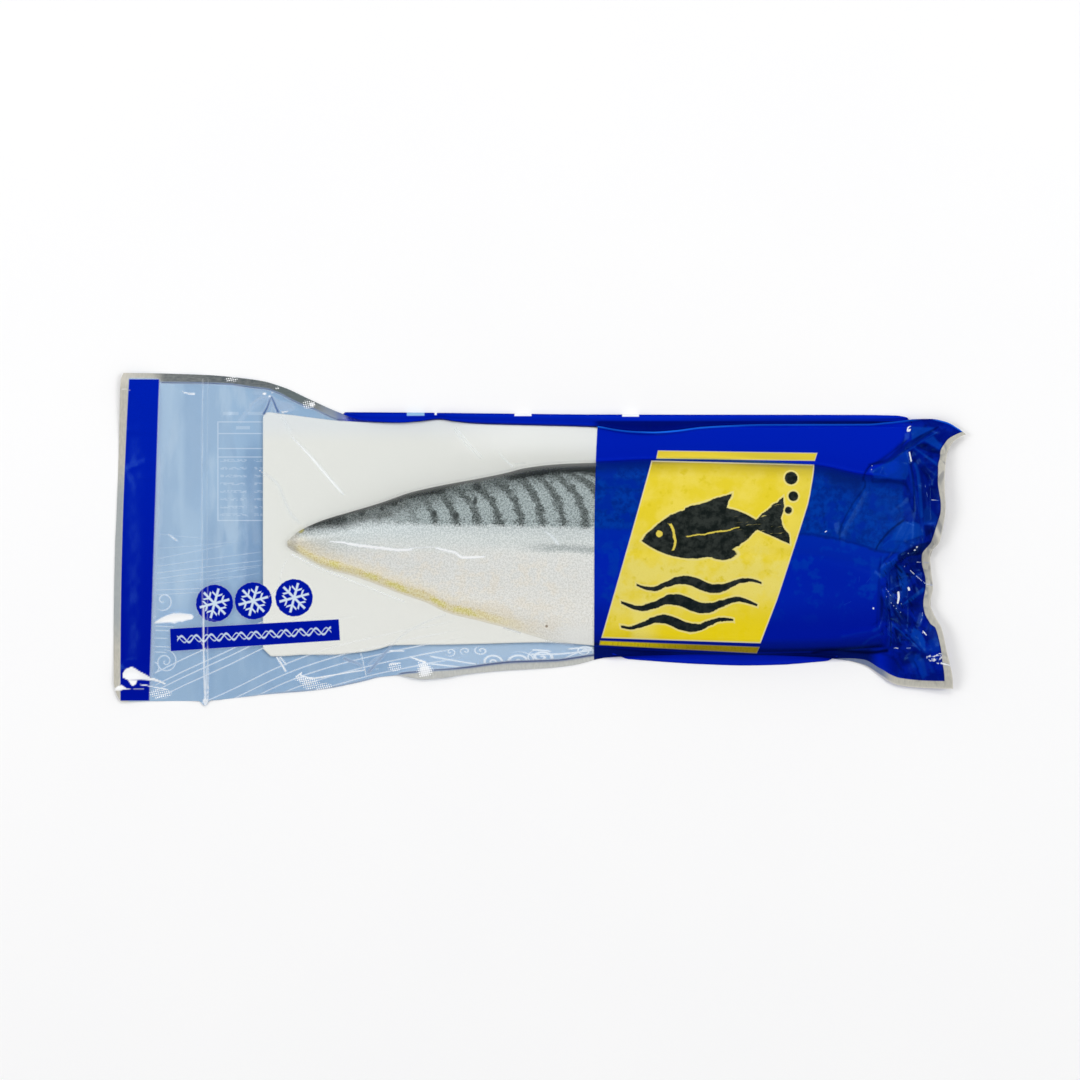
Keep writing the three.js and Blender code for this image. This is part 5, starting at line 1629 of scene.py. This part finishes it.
    # unprinted breaks in the strip, as at the edge of a repeat
    breaks = None
    for x0, x1, y0, y1 in ((434.2, 436.4, 409, 414.6), (514, 531, 409, 415.6), (621.6, 638.4, 409, 416.2)):
        b = t.smooth(x0 - 0.5, x0 + 0.5, t.x) * t.smooth(x1 + 0.5, x1 - 0.5, t.x) * t.smooth(y1 + 0.5, y1 - 0.5, t.y) * t.smooth(y0 - 0.5, y0 + 0.5, t.y)
        breaks = b if breaks is None else breaks.at_least(b)
    pale_break = t.smooth(406, 407, t.x) * t.smooth(424.5, 423.5, t.x) * t.smooth(409, 410, t.y) * t.smooth(415.9, 414.9, t.y)
    color = t.mix(strip.at_least(head_end), pale, blue)
    color = t.mix(pale_break, color, linear(146, 188, 226))
    color = t.mix(breaks, color, linear(246, 248, 250))
    # the unprinted rim at both free ends
    rim = t.smooth(8.0, 7.0, t.attribute("rim"))
    color = t.mix(rim, color, t.mix(fine, linear(206, 203, 193), linear(184, 182, 174)))
    bump = t.bump(t.noise(flat, 0.3, 3.0, 0.55), 0.3, 0.00006)
    ink = t.nt.nodes.new("ShaderNodeBsdfDiffuse")
    t.link(color, ink.inputs["Color"])
    gloss = t.nt.nodes.new("ShaderNodeBsdfGlossy")
    gloss.inputs["Roughness"].default_value = 0.22
    t.link(t.mix(strip.at_least(head_end), (1.0, 1.0, 1.0, 1.0), BLUE_SHEEN), gloss.inputs["Color"])
    t.nt.links.new(bump, gloss.inputs["Normal"])
    t.nt.links.new(t.shade(film_fresnel(t, bump, 0.35), ink.outputs[0], gloss.outputs[0]), t.out.inputs[0])
    return t.mat


# ---------------------------------------------------------------- build
film_clear_mat = film_material("clear_film", False)
film_print_mat = film_material("printed_film", True)

edge_share = lambda t: PRINT_EDGE - 2.0 + 3.5 * np.clip((t - 0.5) / 0.5, 0, 1) ** 2
film_clear = film_part("film_clear", tail_edge, edge_share, 404, 244, film_clear_mat)
film_print = film_part("film_printed", edge_share, head_edge, 372, 262, film_print_mat, crowd=(0.4, 0.7))

# where the clear film's unprinted rim and the dark line inside it run
seal_in = through(
    (113, 377.6), (130, 377.8), (156, 378.2), (160, 381.5), (200, 382.1), (230, 383.2), (240, 384.6), (250, 386.2), (267, 388.2),
    (276, 391.4), (282, 394), (290, 398.4), (298, 402.2), (306, 405.8), (314, 408.2), (320.5, 411.3), (327, 414.5), (332, 416.8),
    (340, 419), (600, 420),
)
foot_in = through((113, 720), (388, 720), (397, 675.0), (405, 673.2), (416, 672.1), (431, 670.5), (450, 669.3), (467, 667.6), (489, 664.6), (511, 662.3), (533, 661.5), (556, 660.6), (577, 657.8), (592, 655.6), (600, 655))


def add_attribute(obj, key, function):
    co = np.empty(len(obj.data.vertices) * 3, np.float32)
    obj.data.vertices.foreach_get("co", co)
    co = co.reshape(-1, 3).astype(float) * 1000.0
    x, y = co[:, 0] / K + PX, PY - co[:, 1] / K
    layer = obj.data.attributes.new(key, "FLOAT", "POINT")
    layer.data.foreach_set("value", np.asarray(function(x, y), np.float32).ravel())


def margin(x, y):
    top = ease(seal_in(x) - y, -0.8, 0.8) * (1 - ease(x, 338, 350))
    foot = ease(y - foot_in(x), -0.8, 0.8)
    left = 1 - ease(x - (128.8 - (y - 378.6) * 0.062 + (y - 378.6) ** 2 * 0.000108), -0.8, 0.8)
    return np.maximum(np.maximum(top, foot), left)


def margin_line(x, y):
    top = np.exp(-(((y - seal_in(x) - 0.6) / 0.9) ** 2)) * ease(x, 158, 162) * (1 - ease(x, 338, 352))
    foot = np.exp(-(((y - foot_in(x) + 0.9) / (1.1 + 0.35 * ease(x, 440, 480))) ** 2)) * ease(x, 392, 402)
    rim = np.exp(-(((front_tip(x) - y - 0.8) / 0.7) ** 2)) * ease(x, 222, 300) * (1 - ease(x, 372, 384)) * 0.7
    return np.maximum(np.maximum(top, foot), rim)


def over_fillet(x, y):
    v = (y - fish_back(x)) / (fish_belly(x) - fish_back(x))
    return ease(y - fish_back(x), -1.2, 1.2) * ease(fish_belly(x) - y, -1.5, 1.5) * ease(fish_head(v) - x, -3.0, 6.0)


add_attribute(film_clear, "margin", margin)
add_attribute(film_clear, "margin_line", margin_line)
add_attribute(film_clear, "over_board", lambda x, y: ease(board_inside(x, y), -0.6, 0.6))
# where the painted highlight along the standing seam runs
add_attribute(
    film_print, "seam_highlight",
    lambda x, y: np.maximum(ease(2.1 - (y - back_tip(x)), 0, 1.2) * (1 - ease(x, 908, 922)), ease(1.8 - (y - back_tip(x)), 0, 1.0) * ease(x, 930, 938) * 0.8),
)
add_attribute(film_print, "on_fish", over_fillet)
add_attribute(film_print, "belt", lambda x, y: y - fish_belt(x))
add_attribute(film_print, "from_back", lambda x, y: y - fish_back(x))
add_attribute(film_print, "to_belly", lambda x, y: fish_belly(x) - y)

film_under = back_film("film_back", 430, back_film_material())
board = board_piece("board", board_material())
fillet = fillet_piece("fillet", skin_material(), flesh_material())

for piece in (film_clear, film_print, film_under, board, fillet):
    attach(piece, "root")
    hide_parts("sealed_pack")

# ---------------------------------------------------------------- stage, light and camera
scene = bpy.context.scene
scene.view_settings.view_transform = "Standard"
scene.view_settings.look = "None"

floor_mesh = bpy.data.meshes.new("floor")
size = 6.0
floor_mesh.from_pydata([(-size, -size, 0), (size, -size, 0), (size, size, 0), (-size, size, 0)], [], [(0, 1, 2, 3)])
floor = bpy.data.objects.new("floor", floor_mesh)
scene.collection.objects.link(floor)
ft = Tree("floor_white")
ft.nt.links.new(
    principled(ft, ft.mix(ft.noise(ft.object, 9.0, 3.0, 0.5), linear(249, 249, 250), linear(252, 252, 252)), 0.7, Specular_IOR_Level=0.1),
    ft.out.inputs[0],
)
floor_mesh.materials.append(ft.mat)
floor.visible_glossy = False           # nothing white to mirror in the steep sides of the film

# The surroundings are a soft white dome, dark straight above so that the film doesn't mirror it at the camera,
# and dimmer towards the belly side.
world = bpy.data.worlds.new("studio")
scene.world = world
world.use_nodes = True
wt = world.node_tree
world.cycles_visibility.glossy = False
dome_node = wt.nodes["Background"]
dome_node.inputs["Color"].default_value = (1, 1, 1, 1)
direction = wt.nodes.new("ShaderNodeTexCoord")
parts = wt.nodes.new("ShaderNodeSeparateXYZ")
wt.links.new(direction.outputs["Generated"], parts.inputs[0])


def ramp(source, a, b, low, high):
    n = wt.nodes.new("ShaderNodeMapRange")
    n.interpolation_type = "SMOOTHSTEP"
    wt.links.new(source, n.inputs[0])
    for i, v in enumerate((a, b, low, high)):
        n.inputs[i + 1].default_value = v
    return n.outputs[0]


both = wt.nodes.new("ShaderNodeMath")
both.operation = "MULTIPLY"
wt.links.new(ramp(parts.outputs[2], 0.80, 0.955, DOME, 0.0), both.inputs[0])
wt.links.new(ramp(parts.outputs[1], -0.8, 0.1, 0.86, 1.0), both.inputs[1])
wt.links.new(both.outputs[0], dome_node.inputs["Strength"])


def lamp(name, at, aim, width, height, power):
    data = bpy.data.lights.new(name, "AREA")
    data.shape = "RECTANGLE"
    data.size, data.size_y, data.energy = width, height, power
    obj = bpy.data.objects.new(name, data)
    obj.location = at
    obj.rotation_mode = "QUATERNION"
    obj.rotation_quaternion = (Vector(aim) - Vector(at)).to_track_quat("-Z", "Y")
    scene.collection.objects.link(obj)
    return obj


lamp("key_left", (-1.1, 0.2, 1.35), (0, 0, 0), 0.7, 0.8, KEY_LEFT)
lamp("key_right", (1.15, 0.15, 1.3), (0, 0, 0), 0.7, 0.8, KEY_RIGHT)
lamp("back", (0.15, 1.1, 1.5), (0, 0, 0), 0.9, 0.35, KEY_BACK).visible_glossy = False

camera_data = bpy.data.cameras.new("camera")
camera = bpy.data.objects.new("camera", camera_data)
scene.collection.objects.link(camera)
AWAY = 2.4
camera.location = (0.5 * K * 0.001, -1.0 * K * 0.001, AWAY)
camera.rotation_euler = (0, 0, 0)
camera_data.sensor_width = 36.0
camera_data.lens = 36.0 * AWAY / (1080 * K * 0.001)
camera_data.clip_end = 50.0
scene.camera = camera
